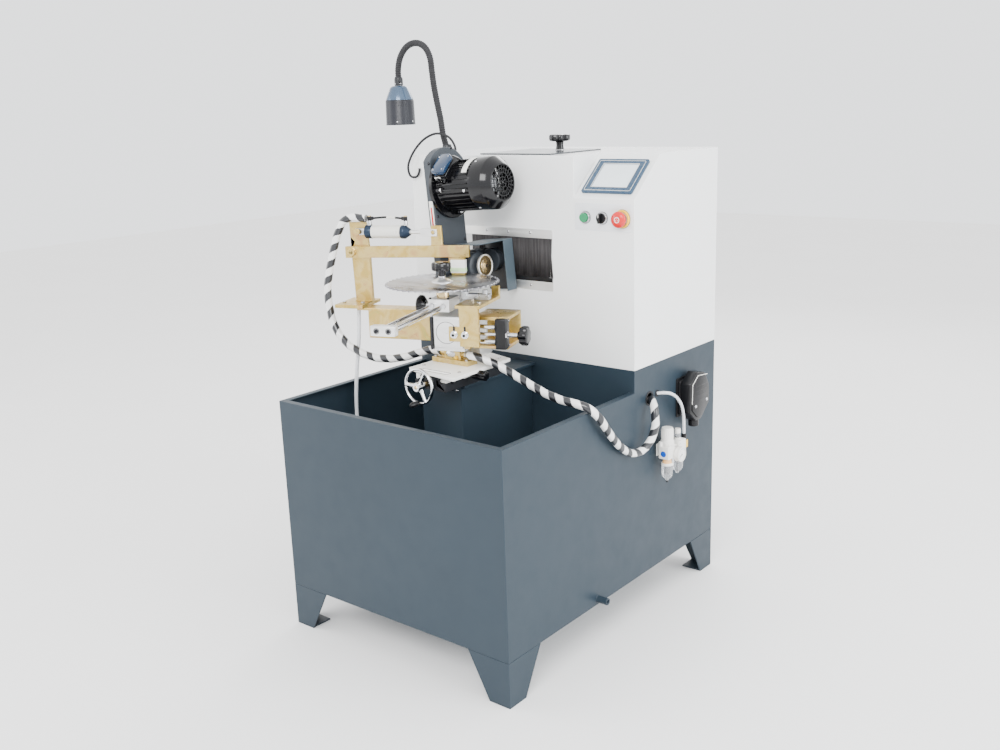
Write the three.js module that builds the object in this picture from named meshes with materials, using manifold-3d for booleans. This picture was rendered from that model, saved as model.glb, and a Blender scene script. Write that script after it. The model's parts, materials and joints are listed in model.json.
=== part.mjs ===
// Wet grinding sharpener for carbide saw blades. Millimetres, +Z up, the operator stands on the -Y side.
import * as THREE from 'three';
import * as BufferGeometryUtils from 'three/addons/utils/BufferGeometryUtils.js';
import Module from 'manifold-3d';

const wasm = await Module();
wasm.setup();

// ---- driving dimensions ----
const gap = 0.3;                    // air between touching pieces
const sheet = 3;                    // folded sheet steel
const width = 720;                  // tank and cabinet, along X
const depth = 944;                  // tank, along Y
const legHeight = 113;
const rimHeight = 614;              // top of the open tank
const rimLip = 18;
const shelfHeight = 671;            // top of the closed rear base, where the cabinet sits
const cabinetTop = 1192;
const frontFace = 57;               // y of the cabinet's front sheet
const slopeX = 185;                 // the control corner starts here
const slopeBottom = 1090;
const slopeBack = 177;
const halfW = width / 2;
const halfD = depth / 2;

const slot = { x0: -150, x1: 104, z0: 874, z1: 984 };         // brush slot in the front sheet
const hatch = { x0: -135, x1: 95, y0: 85, y1: 316, knobX: 6, knobY: 251 };

const armX = -60;                   // axis of the head's sleeve, along Y
const armZ = 925;
const headTilt = 5;                 // degrees, the motor end up
const traverse = 30;                // the head's travel to the left of rest
const headAxisY = -42;              // wheel and motor axes lie in this plane
const motorRise = 199;              // motor axis above the sleeve's axis
const wheelDrop = 7;                // wheel axis below the sleeve's axis
const wheelRadius = 29;

const bladeX = -20;                 // centre of the blade
const bladeY = -214;
const bladeTop = 905.5;
const bladeRadius = 140;
const bladeThick = 3;
const bladeTeeth = 24;
const swivel = 19;                  // degrees about Z, the carriage against the table
const swivelPin = { u: 40.9, v: 134, r: 12 };   // under the point of grinding
const leverV = 108;                 // the clamp lever's plane, behind the blade's centre
const leverThick = 12;
const pivot = { u: -295.5, z: 958 };  // clamp lever's pivot
const rearPin = { u: -274.5, z: 1012 };
const rodPin = { u: -61.5, z: 1013 };

const tableTop = 700;
const handwheel = { x: 2, y: -338, z: 672, r: 46 };

// ---- materials ----
function paint(colour, roughness, metalness = 0) {
  return new THREE.MeshStandardMaterial({ color: colour, roughness, metalness });
}
const tankPaint = paint(0x5d6670, 0.55);
const whitePaint = paint(0xe9e9e6, 0.3);
const darkPaint = paint(0x3d434b, 0.5);
const zinc = paint(0xc9b06a, 0.4, 0.8);
const alloy = paint(0xc9cbcc, 0.4, 0.8);
const chrome = paint(0xdfe2e4, 0.12, 1);
const steel = paint(0x9a9ea2, 0.35, 0.9);
const brass = paint(0xd0ac5c, 0.3, 0.9);
const blackGloss = paint(0x0c0c0e, 0.22);
const blackPlastic = paint(0x161618, 0.5);
const rubber = paint(0x1b1b1d, 0.8);
const redPlastic = paint(0xc02018, 0.35);
const greenPlastic = paint(0x129060, 0.35);
const yellowPlastic = paint(0xf0d020, 0.4);
const screenFrame = paint(0x223048, 0.35);
const clearTube = paint(0xd6dde4, 0.25);
const bandedHose = paint(0x4c4c50, 0.5);
const whitePlastic = paint(0xe6e4da, 0.45);

// ---- shape helpers: each gives a manifold solid ----
function solid(geometry) {
  const bare = geometry.clone();
  for (const name of Object.keys(bare.attributes)) {
    if (name !== 'position') bare.deleteAttribute(name);
  }
  const merged = BufferGeometryUtils.mergeVertices(bare, 1e-3);
  const index = merged.index.array;
  const kept = [];
  for (let i = 0; i < index.length; i += 3) {
    const [a, b, c] = [index[i], index[i + 1], index[i + 2]];
    if (a !== b && b !== c && c !== a) kept.push(a, b, c);
  }
  const vertProperties = new Float32Array(merged.attributes.position.array);
  return new wasm.Manifold(new wasm.Mesh({ numProp: 3, vertProperties, triVerts: new Uint32Array(kept) }));
}

function box(x, y, z) {
  const geometry = new THREE.BoxGeometry(x[1] - x[0], y[1] - y[0], z[1] - z[0]);
  geometry.translate((x[0] + x[1]) / 2, (y[0] + y[1]) / 2, (z[0] + z[1]) / 2);
  return solid(geometry);
}

const axes = { x: new THREE.Vector3(1, 0, 0), y: new THREE.Vector3(0, 1, 0), z: new THREE.Vector3(0, 0, 1) };

// A turned shape: profile points are [radius, height] along the axis from the origin.
function turned(profile, origin, axis, segments = 20) {
  const points = profile.map(([r, h]) => new THREE.Vector2(r, h));
  if (THREE.ShapeUtils.area(points) < 0) points.reverse();
  const geometry = new THREE.LatheGeometry(points, segments);
  const turn = new THREE.Quaternion().setFromUnitVectors(axes.y, axis.clone().normalize());
  geometry.applyQuaternion(turn);
  geometry.translate(...origin);
  return solid(geometry);
}

function rod(from, to, radius, segments = 12) {
  const start = new THREE.Vector3(...from);
  const along = new THREE.Vector3(...to).sub(start);
  const length = along.length();
  return turned([[0, 0], [radius, 0], [radius, length], [0, length]], from, along, segments);
}

// A prism of an outline. For 'x' the outline is (y, z), for 'y' it is (x, z), for 'z' it is (x, y).
function prism(outline, direction, from, to) {
  const shape = new THREE.Shape(outline.map(([p, q]) => new THREE.Vector2(p, q)));
  return extruded(shape, direction, from, to);
}

function extruded(shape, direction, from, to) {
  const options = { depth: to - from, bevelEnabled: false, curveSegments: 8 };
  const geometry = new THREE.ExtrudeGeometry(shape, options);
  const frames = {
    x: [axes.y, axes.z, axes.x, [from, 0, 0]],
    y: [axes.x, axes.z, axes.y.clone().negate(), [0, to, 0]],
    z: [axes.x, axes.y, axes.z, [0, 0, from]],
  };
  const [right, up, out, offset] = frames[direction];
  geometry.applyMatrix4(new THREE.Matrix4().makeBasis(right, up, out));
  geometry.translate(...offset);
  return solid(geometry);
}

function tube(points, radius, sides, steps) {
  const section = new THREE.Shape();
  for (let i = 0; i < sides; i += 1) {
    const turn = (i / sides) * 2 * Math.PI;
    const point = [radius * Math.cos(turn), radius * Math.sin(turn)];
    if (i === 0) section.moveTo(...point);
    else section.lineTo(...point);
  }
  const vectors = points.map((p) => new THREE.Vector3(...p));
  const extrudePath = new THREE.CatmullRomCurve3(vectors, false, 'centripetal');
  return solid(new THREE.ExtrudeGeometry(section, { steps, extrudePath, bevelEnabled: false }));
}

// A round knob with lobes: a stem, then a lobed head.
function lobedKnob(origin, axis, { stem, stemLength, radius, height, lobes }) {
  const points = [];
  const perLobe = 4;
  for (let i = 0; i < lobes * perLobe; i += 1) {
    const turn = (i / (lobes * perLobe)) * 2 * Math.PI;
    const r = radius * (0.88 + 0.12 * Math.cos(lobes * turn));
    points.push(new THREE.Vector2(r * Math.cos(turn), r * Math.sin(turn)));
  }
  const geometry = new THREE.ExtrudeGeometry(new THREE.Shape(points), { depth: height, bevelEnabled: false });
  geometry.translate(0, 0, stemLength);
  geometry.applyQuaternion(new THREE.Quaternion().setFromUnitVectors(axes.z, axis.clone().normalize()));
  geometry.translate(...origin);
  const neck = turned([[0, 0], [stem, 0], [stem, stemLength + 1], [0, stemLength + 1]], origin, axis, 12);
  return solid(geometry).add(neck);
}

function join(...pieces) {
  return pieces.reduce((whole, piece) => whole.add(piece));
}

function cut(whole, ...tools) {
  return tools.reduce((left, tool) => left.subtract(tool), whole);
}

function addPiece(group, name, shape, material) {
  const made = shape.getMesh();
  const geometry = new THREE.BufferGeometry();
  geometry.setAttribute('position', new THREE.BufferAttribute(new Float32Array(made.vertProperties), 3));
  geometry.setIndex(new THREE.BufferAttribute(new Uint32Array(made.triVerts), 1));
  geometry.computeVertexNormals();
  const mesh = new THREE.Mesh(geometry, material);
  mesh.name = name;
  group.add(mesh);
  return mesh;
}

// ---- base: tank and legs ----
const spigot = { y: -115, z: 128, r: 9 };
const hoseHole = { y: 127, z: 585, r: 15 };
const tubeHole = { y: 164, z: 590, r: 6 };

function coolantTank() {
  const outer = join(
    box([-halfW, halfW], [-halfD, frontFace + 10], [legHeight, rimHeight]),
    box([-halfW, halfW], [frontFace, halfD], [legHeight, shelfHeight]),
  );
  const inX = halfW - sheet;
  const floor = legHeight + sheet;
  const lipX = halfW - rimLip;
  const tank = box([-inX, inX], [-halfD + sheet, frontFace], [floor, rimHeight - sheet]);
  const tankMouth = box([-lipX, lipX], [-halfD + rimLip, frontFace], [floor, rimHeight + 1]);
  const base = box([-inX, inX], [frontFace + sheet, halfD - sheet], [floor, shelfHeight - sheet]);
  const baseMouth = box([-inX + 17, inX - 17], [frontFace + 20, halfD - 20], [floor, shelfHeight + 1]);
  const holes = [hoseHole, tubeHole].map(({ y, z, r }) => rod([halfW - 9, y, z], [halfW + 9, y, z], r, 12));
  const drain = rod([halfW - 1, spigot.y, spigot.z], [halfW + 30, spigot.y, spigot.z], spigot.r, 12);
  const drainBore = rod([halfW - 9, spigot.y, spigot.z], [halfW + 40, spigot.y, spigot.z], spigot.r - 4, 12);
  return cut(outer, tank, tankMouth, base, baseMouth, ...holes).add(drain).subtract(drainBore);
}

// A leg is a folded corner that tapers down to a small pad.
function leg(signX, signY) {
  const top = 120;
  const foot = 60;
  const plate = 4;
  const height = legHeight - gap;
  const alongX = prism([[0, height], [top, height], [foot, 0], [0, 0]], 'y', 0, plate);
  const alongY = prism([[0, height], [top, height], [foot, 0], [0, 0]], 'x', 0, plate);
  const pad = box([0, foot], [0, foot], [0, plate]);
  const corner = join(alongX, alongY, pad).scale([signX, signY, 1]);
  return corner.translate([-signX * halfW, -signY * halfD, 0]);
}

// ---- cabinet ----
const buttons = { z: 1044, start: 219, selector: 269, stop: 326 };
const doorHinge = { x: -342, y: 478.5, r: 5 };
const knuckles = [790, 1050];       // heights of the door's two hinges
const slopeAngle = Math.atan2(cabinetTop - slopeBottom, slopeBack - frontFace);

function cabinetShell() {
  const bottom = shelfHeight + gap;
  const inTop = cabinetTop - sheet;
  const inFront = frontFace + sheet;
  const drop = (sheet / Math.cos(slopeAngle)) - sheet * Math.tan(slopeAngle);
  const profile = [[frontFace, bottom], [halfD, bottom], [halfD, cabinetTop], [slopeBack, cabinetTop],
    [frontFace, slopeBottom]];
  const lowFront = slopeBottom - drop;
  const inBack = inFront + (inTop - lowFront) / Math.tan(slopeAngle);
  const inner = [[inFront, bottom - 1], [halfD - sheet, bottom - 1], [halfD - sheet, inTop], [inBack, inTop],
    [inFront, lowFront]];
  const outer = join(box([-halfW, slopeX], [frontFace, halfD], [bottom, cabinetTop]),
    prism(profile, 'x', slopeX - 1, halfW));
  const hollow = join(box([-halfW + sheet, slopeX - sheet], [inFront, halfD - sheet], [bottom - 1, inTop]),
    prism(inner, 'x', slopeX - sheet - 1, halfW - sheet));
  const flange = cut(box([-halfW + 1, halfW - 1], [frontFace + 1, halfD - 1], [bottom, bottom + sheet]),
    box([-halfW + 20, halfW - 20], [frontFace + 20, halfD - 20], [bottom - 1, bottom + sheet + 1]));
  const slotHole = box([slot.x0, slot.x1], [frontFace - 1, inFront + 1], [slot.z0, slot.z1]);
  const hatchHole = box([hatch.x0 + 30, hatch.x1 - 30], [hatch.y0 + 30, hatch.y1 - 30],
    [inTop - 1, cabinetTop + 1]);
  const doorHole = box([-315, 315], [halfD - sheet - 1, halfD + 1], [725, 1145]);
  const buttonHoles = [buttons.start, buttons.selector, buttons.stop].map(
    (x) => rod([x, frontFace - 1, buttons.z], [x, inFront + 1, buttons.z], 11.4));
  const hinges = knuckles.flatMap((z) => [z - 30, z + 30.3].map((low) => join(
    rod([doorHinge.x, doorHinge.y, low], [doorHinge.x, doorHinge.y, low + 29.4], doorHinge.r, 12),
    box([doorHinge.x - 14, doorHinge.x - 2], [halfD - 1, doorHinge.y - 1], [low, low + 29.4]),
  )));
  return cut(outer, hollow).add(flange).subtract(slotHole).subtract(hatchHole).subtract(doorHole)
    .subtract(join(...buttonHoles)).add(join(...hinges));
}

function rearDoor() {
  const front = halfD + gap;
  const plate = box([-333, 335], [front, front + sheet], [705, 1165]);
  const barrels = knuckles.map((z) => join(
    rod([doorHinge.x, doorHinge.y, z + 0.2], [doorHinge.x, doorHinge.y, z + 29.6], doorHinge.r, 12),
    box([doorHinge.x + 2, -325], [front + 1, front + sheet], [z + 0.2, z + 29.6]),
  ));
  const handle = join(rod([300, front + 1, 935], [300, front + 12, 935], 14),
    box([294, 306], [front + 10, front + 22], [900, 945]));
  return join(plate, ...barrels, handle);
}

function hatchPlate() {
  const low = cabinetTop + gap;
  const plate = box([hatch.x0, hatch.x1], [hatch.y0, hatch.y1], [low, low + sheet]);
  const lip = cut(box([hatch.x0 + 32, hatch.x1 - 32], [hatch.y0 + 32, hatch.y1 - 32], [low - 12, low + 1]),
    box([hatch.x0 + 35, hatch.x1 - 35], [hatch.y0 + 35, hatch.y1 - 35], [low - 13, low]));
  return join(plate, lip);
}

function hatchKnob() {
  return lobedKnob([hatch.knobX, hatch.knobY, cabinetTop + gap + sheet + gap], axes.z,
    { stem: 11, stemLength: 24, radius: 29, height: 18, lobes: 7 });
}

// The touch panel lies on the slope, in a group that is tipped with it.
function hmiPanel() {
  return join(box([200, 347], [14, 130], [gap, 7]), box([203, 344], [17, 127], [6, 9]));
}

const outward = new THREE.Vector3(0, -1, 0);

function bezel(x, radius) {
  const rim = radius - 1;
  return turned([[8.7, -16], [11, -16], [11, gap], [radius, gap], [rim, 6], [11.8, 6], [11.8, 3], [8.7, 3],
    [8.7, -16]], [x, frontFace, buttons.z], outward, 20);
}

function startButton() {
  return turned([[0, -12], [8.2, -12], [8.2, 8], [11.2, 8], [11.2, 11], [10, 12.5], [0, 12.5]],
    [buttons.start, frontFace, buttons.z], outward, 20);
}

function selectorKnob() {
  const face = frontFace - 6.4;
  return join(turned([[0, -12], [8.2, -12], [8.2, 6.4], [13, 6.4], [12, 10], [0, 10]],
    [buttons.selector, frontFace, buttons.z], outward, 20),
  box([buttons.selector - 3, buttons.selector + 3], [face - 14, face - 2], [buttons.z - 12, buttons.z + 12]));
}

function stopButton() {
  return turned([[0, -12], [8.2, -12], [8.2, 12], [18, 12], [20, 15], [20, 19], [16, 24], [0, 26]],
    [buttons.stop, frontFace, buttons.z], outward, 24);
}

// ---- brush slot ----
function brushStrip(z0, z1) {
  return box([-172, 118], [frontFace - 2.3, frontFace - gap], [z0, z1]);
}

function brushCurtain() {
  const full = box([-149, 103], [frontFace + sheet + gap, frontFace + 10], [866, 994]);
  const sleeve = 32;                // sleeve radius and clearance
  return cut(full, box([armX - traverse - sleeve, armX + sleeve], [50, 80], [860, armZ + 34]));
}

// ---- right-hand wall: plug connector, air unit ----
function powerConnector() {
  const x = halfW + gap;
  const hood = [[264, 516], [296, 488], [324, 488], [366, 524], [366, 576], [344, 612], [300, 622], [264, 596]];
  return join(
    box([x, x + 12], [260, 370], [500, 606]),
    prism(hood, 'x', x + 11, x + 46),
    rod([x + 26, 310, 490], [x + 26, 310, 470], 14, 12),
  );
}

const air = { x: 388, filterY: 170, lubeY: 223, outletY: 256, low: 419, top: 456 };

// Filter regulator and lubricator side by side, with a gauge and an elbow for the air tube.
function airUnit() {
  const x = halfW + gap;
  const { filterY, lubeY, outletY, low, top } = air;
  return join(
    box([x, x + 6], [146, 262], [low, top]),
    box([x + 5, air.x + 15], [filterY - 22, lubeY + 20], [low, top]),
    turned([[0, 0], [12, 0], [17, 10], [17, low - 351], [0, low - 351]], [air.x, filterY, 352], axes.z, 16),
    turned([[0, 0], [10, 0], [15, 8], [15, low - 357], [0, low - 357]], [air.x, lubeY, 358], axes.z, 16),
    rod([air.x, lubeY, top - 1], [air.x, lubeY, 486], 8, 12),
    rod([air.x + 10, lubeY, 426], [air.x + 30, lubeY, 426], 20, 20),
    box([air.x - 8, air.x + 8], [lubeY + 19, outletY + 8], [430, 446]),
    rod([air.x, outletY, 445], [air.x, outletY, 462], 7, 12),
  );
}

function airKnob() {
  return turned([[0, 0], [18, 0], [18, 8], [16, 12], [16, 44], [14, 46], [0, 46]],
    [air.x, air.filterY, air.top + gap], axes.z, 16);
}

// ---- work lamp ----
const lampY = 90;
const lampNeck = [[-255, 1199], [-262, 1225], [-268, 1245], [-274, 1284], [-284, 1328], [-293, 1373],
  [-298, 1412], [-303, 1448], [-320, 1475], [-349, 1487], [-383, 1481], [-410, 1457], [-423, 1424],
  [-424, 1396]];
const shadeTop = 1378;

function lampArm() {
  const base = turned([[0, 0], [26, 0], [26, 6], [13, 12], [0, 12]], [lampNeck[0][0], lampY, cabinetTop + gap],
    axes.z, 20);
  const neck = tube(lampNeck.map(([x, z]) => [x, lampY, z]), 9.5, 8, 30);
  const collar = rod([-424, lampY, shadeTop + gap], [-424, lampY, 1402], 12, 12);
  return join(base, neck, collar);
}

function lampShade() {
  return turned([[0, 0], [19, 0], [23, -5], [38, -37], [38.5, -41], [41, -106], [39, -106], [36.5, -41],
    [36, -38], [20, -7], [0, -7]], [-424, lampY, shadeTop], axes.z, 24);
}

// ---- grinding head ----
// Inside the cabinet: two rails along X between brackets on the front sheet; a slide runs on them,
// and its sleeve comes out through the brush slot.
function headRails() {
  const back = frontFace + sheet + gap;
  const ends = [-300, 180].map((x) => join(
    box([x - 12, x + 12], [back, 420], [870, 960]),
    box([x - 30, x + 30], [back, back + 6], [860, 970]),
  ));
  const bars = [260, 390].map((y) => rod([-300, y, 915], [180, y, 915], 14));
  return join(...ends, ...bars);
}

function headSlide() {
  const block = box([armX - 60, armX + 60], [220, 430], [885, 975]);
  const bores = [260, 390].map((y) => rod([-400, y, 915], [400, y, 915], 14 + gap));
  const sleeve = rod([armX, 44, armZ], [armX, 225, armZ], 30, 24);
  return cut(join(block, sleeve), ...bores);
}

const guard = { a0: -81, a1: -58, front: -107, back: 4, topY: -42, topB: 218, topR: 82, bottom: -48 };

// The belt guard is a thin box with a round head; it also carries the motor and the spindle.
function guardOutline(inset) {
  const { front, back, topY, topB, bottom } = guard;
  const r = guard.topR - inset;
  const shape = new THREE.Shape();
  const frontTurn = Math.acos(-(topY - front - inset) / r);
  shape.moveTo(front + inset, bottom + inset);
  shape.lineTo(back - inset, bottom + inset);
  shape.lineTo(back - inset, topB - Math.sqrt(r * r - (back - inset - topY) ** 2));
  shape.absarc(topY, topB, r, -Math.acos((back - inset - topY) / r), frontTurn, false);
  shape.lineTo(front + inset, bottom + inset);
  return shape;
}

function beltGuard() {
  const { a0, a1 } = guard;
  const shell = extruded(guardOutline(0), 'x', a0, a1);
  const hollow = extruded(guardOutline(2.5), 'x', a0 + 2.5, a1 - 2.5);
  const motorHole = rod([a1 - 9, headAxisY, motorRise], [a1 + 9, headAxisY, motorRise], 45, 24);
  const spindleHole = rod([a1 - 9, headAxisY, -wheelDrop], [a1 + 9, headAxisY, -wheelDrop], 20, 20);
  const bracket = box([a1 - 1, -24], [-5, 43.4], [-30, 30]);
  const collar = rod([0, 22, 0], [0, 43.4, 0], 30, 24);
  return join(cut(shell, hollow, motorHole, spindleHole), bracket, collar);
}

function motorBody() {
  const start = guard.a1 + gap;
  const at = [start, headAxisY, motorRise];
  const body = turned([[14, 0], [80, 0], [80, 10], [56, 16], [56, 116], [14, 116], [14, 0]], at, axes.x, 28);
  const fins = [];
  const count = 16;
  for (let i = 0; i < count; i += 1) {
    const turn = (i / count) * 360;
    fins.push(box([start + 14, start + 110], [-1.6, 1.6], [54, 65]).rotate([turn, 0, 0])
      .translate([0, headAxisY, motorRise]));
  }
  const terminal = prism([[-30, 54], [30, 54], [30, 80], [24, 88], [-24, 88], [-30, 80]], 'x', start + 12,
    start + 54).rotate([45, 0, 0]).translate([0, headAxisY, motorRise]);
  return join(body, ...fins, terminal);
}

function fanCover() {
  const at = [guard.a1 + gap, headAxisY, motorRise];
  const shell = turned([[56, 116.5], [66, 116.5], [66, 158], [46, 177.5], [0, 177.5], [0, 174.5], [44.5, 174.5],
    [63, 156.5], [63, 119.5], [56, 119.5], [56, 116.5]], at, axes.x, 24);
  const slots = [];
  const rows = [-27, -9, 9, 27];
  for (const p of rows) {
    for (const q of rows) {
      if (Math.hypot(p, q) < 36) {
        slots.push(box([at[0] + 172, at[0] + 180], [headAxisY + p - 7, headAxisY + p + 7],
          [motorRise + q - 7, motorRise + q + 7]));
      }
    }
  }
  return cut(shell, join(...slots));
}

const pulleyA = guard.a0 + 4;       // pulleys and belt run in this 15 mm wide space

function pulley(radius) {
  return [[0, 0], [radius + 3, 0], [radius + 3, 1.5], [radius, 1.5], [radius, 13.5], [radius + 3, 13.5],
    [radius + 3, 15], [0, 15]];
}

const motorPulleyR = 40;
const spindlePulleyR = 22;

function motorRotor() {
  const at = [pulleyA, headAxisY, motorRise];
  const shaft = rod([pulleyA + 14, headAxisY, motorRise], [guard.a1 + 150, headAxisY, motorRise], 13, 16);
  const fan = [];
  for (let i = 0; i < 6; i += 1) {
    fan.push(box([guard.a1 + 124, guard.a1 + 146], [-2, 2], [8, 58]).rotate([i * 60, 0, 0])
      .translate([0, headAxisY, motorRise]));
  }
  return join(turned(pulley(motorPulleyR), at, axes.x, 20), shaft, ...fan);
}

function grindingSpindle() {
  const at = [pulleyA, headAxisY, -wheelDrop];
  return join(turned(pulley(spindlePulleyR), at, axes.x, 18),
    rod([pulleyA + 14, headAxisY, -wheelDrop], [22, headAxisY, -wheelDrop], 10, 16),
    rod([20, headAxisY, -wheelDrop], [23, headAxisY, -wheelDrop], 17, 16));
}

function driveBelt() {
  const thick = 4;
  const mid = pulleyA + 2.2;
  function loop(extra) {
    const shape = new THREE.Shape();
    const low = spindlePulleyR + extra;
    const high = motorPulleyR + extra;
    const span = motorRise + wheelDrop;
    const lean = Math.asin((high - low) / span);
    shape.absarc(headAxisY, -wheelDrop, low, Math.PI + lean, 2 * Math.PI - lean, false);
    shape.absarc(headAxisY, motorRise, high, -lean, Math.PI + lean, false);
    shape.closePath();
    return shape;
  }
  return cut(extruded(loop(gap + thick), 'x', mid, mid + 10.6), extruded(loop(gap), 'x', mid - 1, mid + 12));
}

// The spindle housing is a dark drum between the guard and the wheel.
function spindleHousing() {
  const start = guard.a1 + gap;
  const end = 17;
  return turned([[10.4, start], [28, start], [28, start + 24], [36, start + 32], [36, end - 6], [22, end],
    [10.4, end], [10.4, start]], [0, headAxisY, -wheelDrop], axes.x, 24);
}

function grindingWheel() {
  const r = wheelRadius;
  return turned([[0, 23.3], [16, 23.3], [r - 2, 30], [r, 33], [r, 36], [r - 5, 36], [r - 7, 34], [12, 34],
    [12, 38], [6, 41], [0, 41]], [0, headAxisY, -wheelDrop], axes.x, 28);
}

// A sheet hood over the wheel: top, back and a narrow right-hand flange.
function wheelHood() {
  const right = 59.5;
  const top = box([-31, right], [-87, 40], [50, 52.5]);
  const back = cut(box([-31, right], [44.3, 46.8], [-81, 52.5]), rod([0, 40, 0], [0, 50, 0], 30.5, 24));
  const backTop = box([-31, right], [38, 46.8], [50, 52.5]);
  const flange = box([right - 2.5, right], [10, 46.8], [-81, 52.5]);
  return join(top, back, backTop, flange);
}

// ---- work side: pedestal, cross slide ----
function pedestal() {
  const top = 655;
  const right = 40;
  const left = -92;
  const front = -229;
  const wall = 6;
  const y1 = frontFace - gap;
  const bodyBox = cut(box([left, right], [front, y1], [legHeight + sheet + gap, top - wall]),
    box([left + wall, right - wall], [front + wall, y1 + 1], [legHeight, top - wall * 2]));
  const wing = prism([[front, 560], [front, 520], [front - 28, 420], [front - 28, 116.6], [front + 10, 116.6],
    [front + 10, 560]], 'x', right - wall, right);
  const topPlate = box([left, right + 12], [front, y1], [top - wall - 1, top]);
  return join(bodyBox, wing, topPlate);
}

const slideBed = { x0: -46, x1: 52, y0: -300, y1: -70 };

function slideBase() {
  const { x0, x1, y0, y1 } = slideBed;
  const bed = box([x0, x1], [y0, y1], [655 + gap, 676]);
  const dove = prism([[-22, 675], [28, 675], [36, 688], [-30, 688]], 'y', y0, y1);
  const screwBore = rod([handwheel.x, y0 - 9, handwheel.z], [handwheel.x, y1 + 9, handwheel.z], 7.5);
  const bracket = box([handwheel.x - 20, handwheel.x + 20], [y0 - 8, y0 + 1], [658, 686]);
  return cut(join(bed, dove, bracket), screwBore);
}

function handwheelPiece() {
  const { x, y, z, r } = handwheel;
  const at = [x, y, z];
  const rim = turned([[r - 7, -4], [r - 2, -5], [r, 0], [r - 2, 5], [r - 7, 4], [r - 7, -4]], at, outward, 24);
  const hub = rod([x, y - 12, z], [x, y + 12, z], 11, 16);
  const spokes = [60, 180, 300].map((turn) => box([5, r - 5], [-3.5, 3.5], [-4, 4]).rotate([0, -turn, 0])
    .translate(at));
  const screw = rod([x, y + 10, z], [x, slideBed.y1 - 20, z], 7, 14);
  const grip = rod([x, y - 2, z - r + 6], [x, y - 34, z - r + 6], 5, 12);
  return join(rim, hub, ...spokes, screw, grip);
}

const turn = THREE.MathUtils.degToRad(swivel);
const swivelPoint = [bladeX + swivelPin.u * Math.cos(turn) - swivelPin.v * Math.sin(turn),
  bladeY + swivelPin.u * Math.sin(turn) + swivelPin.v * Math.cos(turn)];

function tablePlate() {
  const plate = prism([[-72, -292], [94, -318], [84, -88], [-72, -44]], 'z', tableTop - 8, tableTop);
  const pinHole = rod([...swivelPoint, tableTop - 9], [...swivelPoint, tableTop + 1], swivelPin.r + gap, 16);
  const groove = box([-40, 60], [-296, -284], [tableTop - 3, tableTop + 1]);
  const left = [[-46, 692.5], [-46, 677], [-24.6, 677], [-31.5, 688.6], [-31.5, 692.5]];
  const right = [[52, 692.5], [37.5, 692.5], [37.5, 688.6], [30.6, 677], [52, 677]];
  const gibs = [left, right].map((outline) => prism(outline, 'y', -296, -74));
  const nut = box([52, 62], [-240, -190], [678, 693]);
  return cut(join(plate, ...gibs, nut), groove, pinHole,
    rod([50, -215, 685], [70, -215, 685], 4.2, 12));
}

function slideLock() {
  return lobedKnob([62 + gap, -215, 685], axes.x,
    { stem: 4, stemLength: 34, radius: 15, height: 14, lobes: 6 });
}

// The zinc block on the table holds the air fittings of both hoses.
function valveBlock() {
  const z = tableTop + gap;
  const block = box([-66, 50], [-214, -176], [z, z + 12]);
  const valve = box([-30, 22], [-208, -184], [z + 11, z + 32]);
  const left = rod([-48, -196, z + 24], [-29, -196, z + 24], 8, 12);
  const right = rod([20, -196, z + 24], [40, -196, z + 24], 8, 12);
  return join(block, valve, left, right, box([-46, -38], [-200, -192], [z + 10, z + 20]),
    box([32, 40], [-200, -192], [z + 10, z + 20]));
}

// ---- carriage, in the swivel's frame: x runs along the beam, y away from the operator ----
const block = { x0: -12, x1: 68, y0: -40, y1: 108, z0: 742, z1: 828 };

function carriageBlock() {
  const body = box([block.x0, block.x1], [block.y0, block.y1], [block.z0, block.z1]);
  const foot = box([-10, block.x1], [62, 150], [tableTop + gap, block.z0 + 1]);
  const pin = rod([swivelPin.u, swivelPin.v, tableTop - 7], [swivelPin.u, swivelPin.v, tableTop + 2],
    swivelPin.r, 16);
  const holder = box([-34, 26], [84, 106], [block.z1 - 1, 866]);
  const web = box([block.x0 - 22, block.x0 + 1], [60, 106], [760, 842]);
  const rodBores = [-18, 12].map((x) => rod([x, 80, 850], [x, 110, 850], 6 + gap));
  const facePlate = box([block.x0 + 4, block.x1 - 2], [block.y0 - 6, block.y0 + 1], [block.z0 + 8, block.z1]);
  return cut(join(body, foot, pin, holder, web, facePlate), ...rodBores);
}

function arborRail() {
  const bars = [-18, 12].map((x) => rod([x, -312, 850], [x, 106, 850], 6, 14));
  const end = box([-39, 20], [-322, -302], [838, 861]);
  return join(...bars, end);
}

function arborBlock() {
  const body = box([-27, 28], [-30, 34], [836, 867]);
  const bores = [-18, 12].map((x) => rod([x, -40, 850], [x, 40, 850], 6 + gap));
  const collar = turned([[0, 0], [15, 0], [15, 22], [8, 22], [8, 31], [0, 31]], [0, 0, 866], axes.z, 24);
  const boss = rod([-37, -16, 850], [-26, -16, 850], 8);
  return cut(join(body, collar, boss), ...bores, rod([-40, -16, 850], [-29, -16, 850], 4.3));
}

function arborKnob() {
  return turned([[0, 0], [9, 0], [20, 5], [23, 10], [23, 17], [19, 20], [0, 20]], [-38, -16, 850],
    axes.x.clone().negate(), 20);
}

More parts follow.
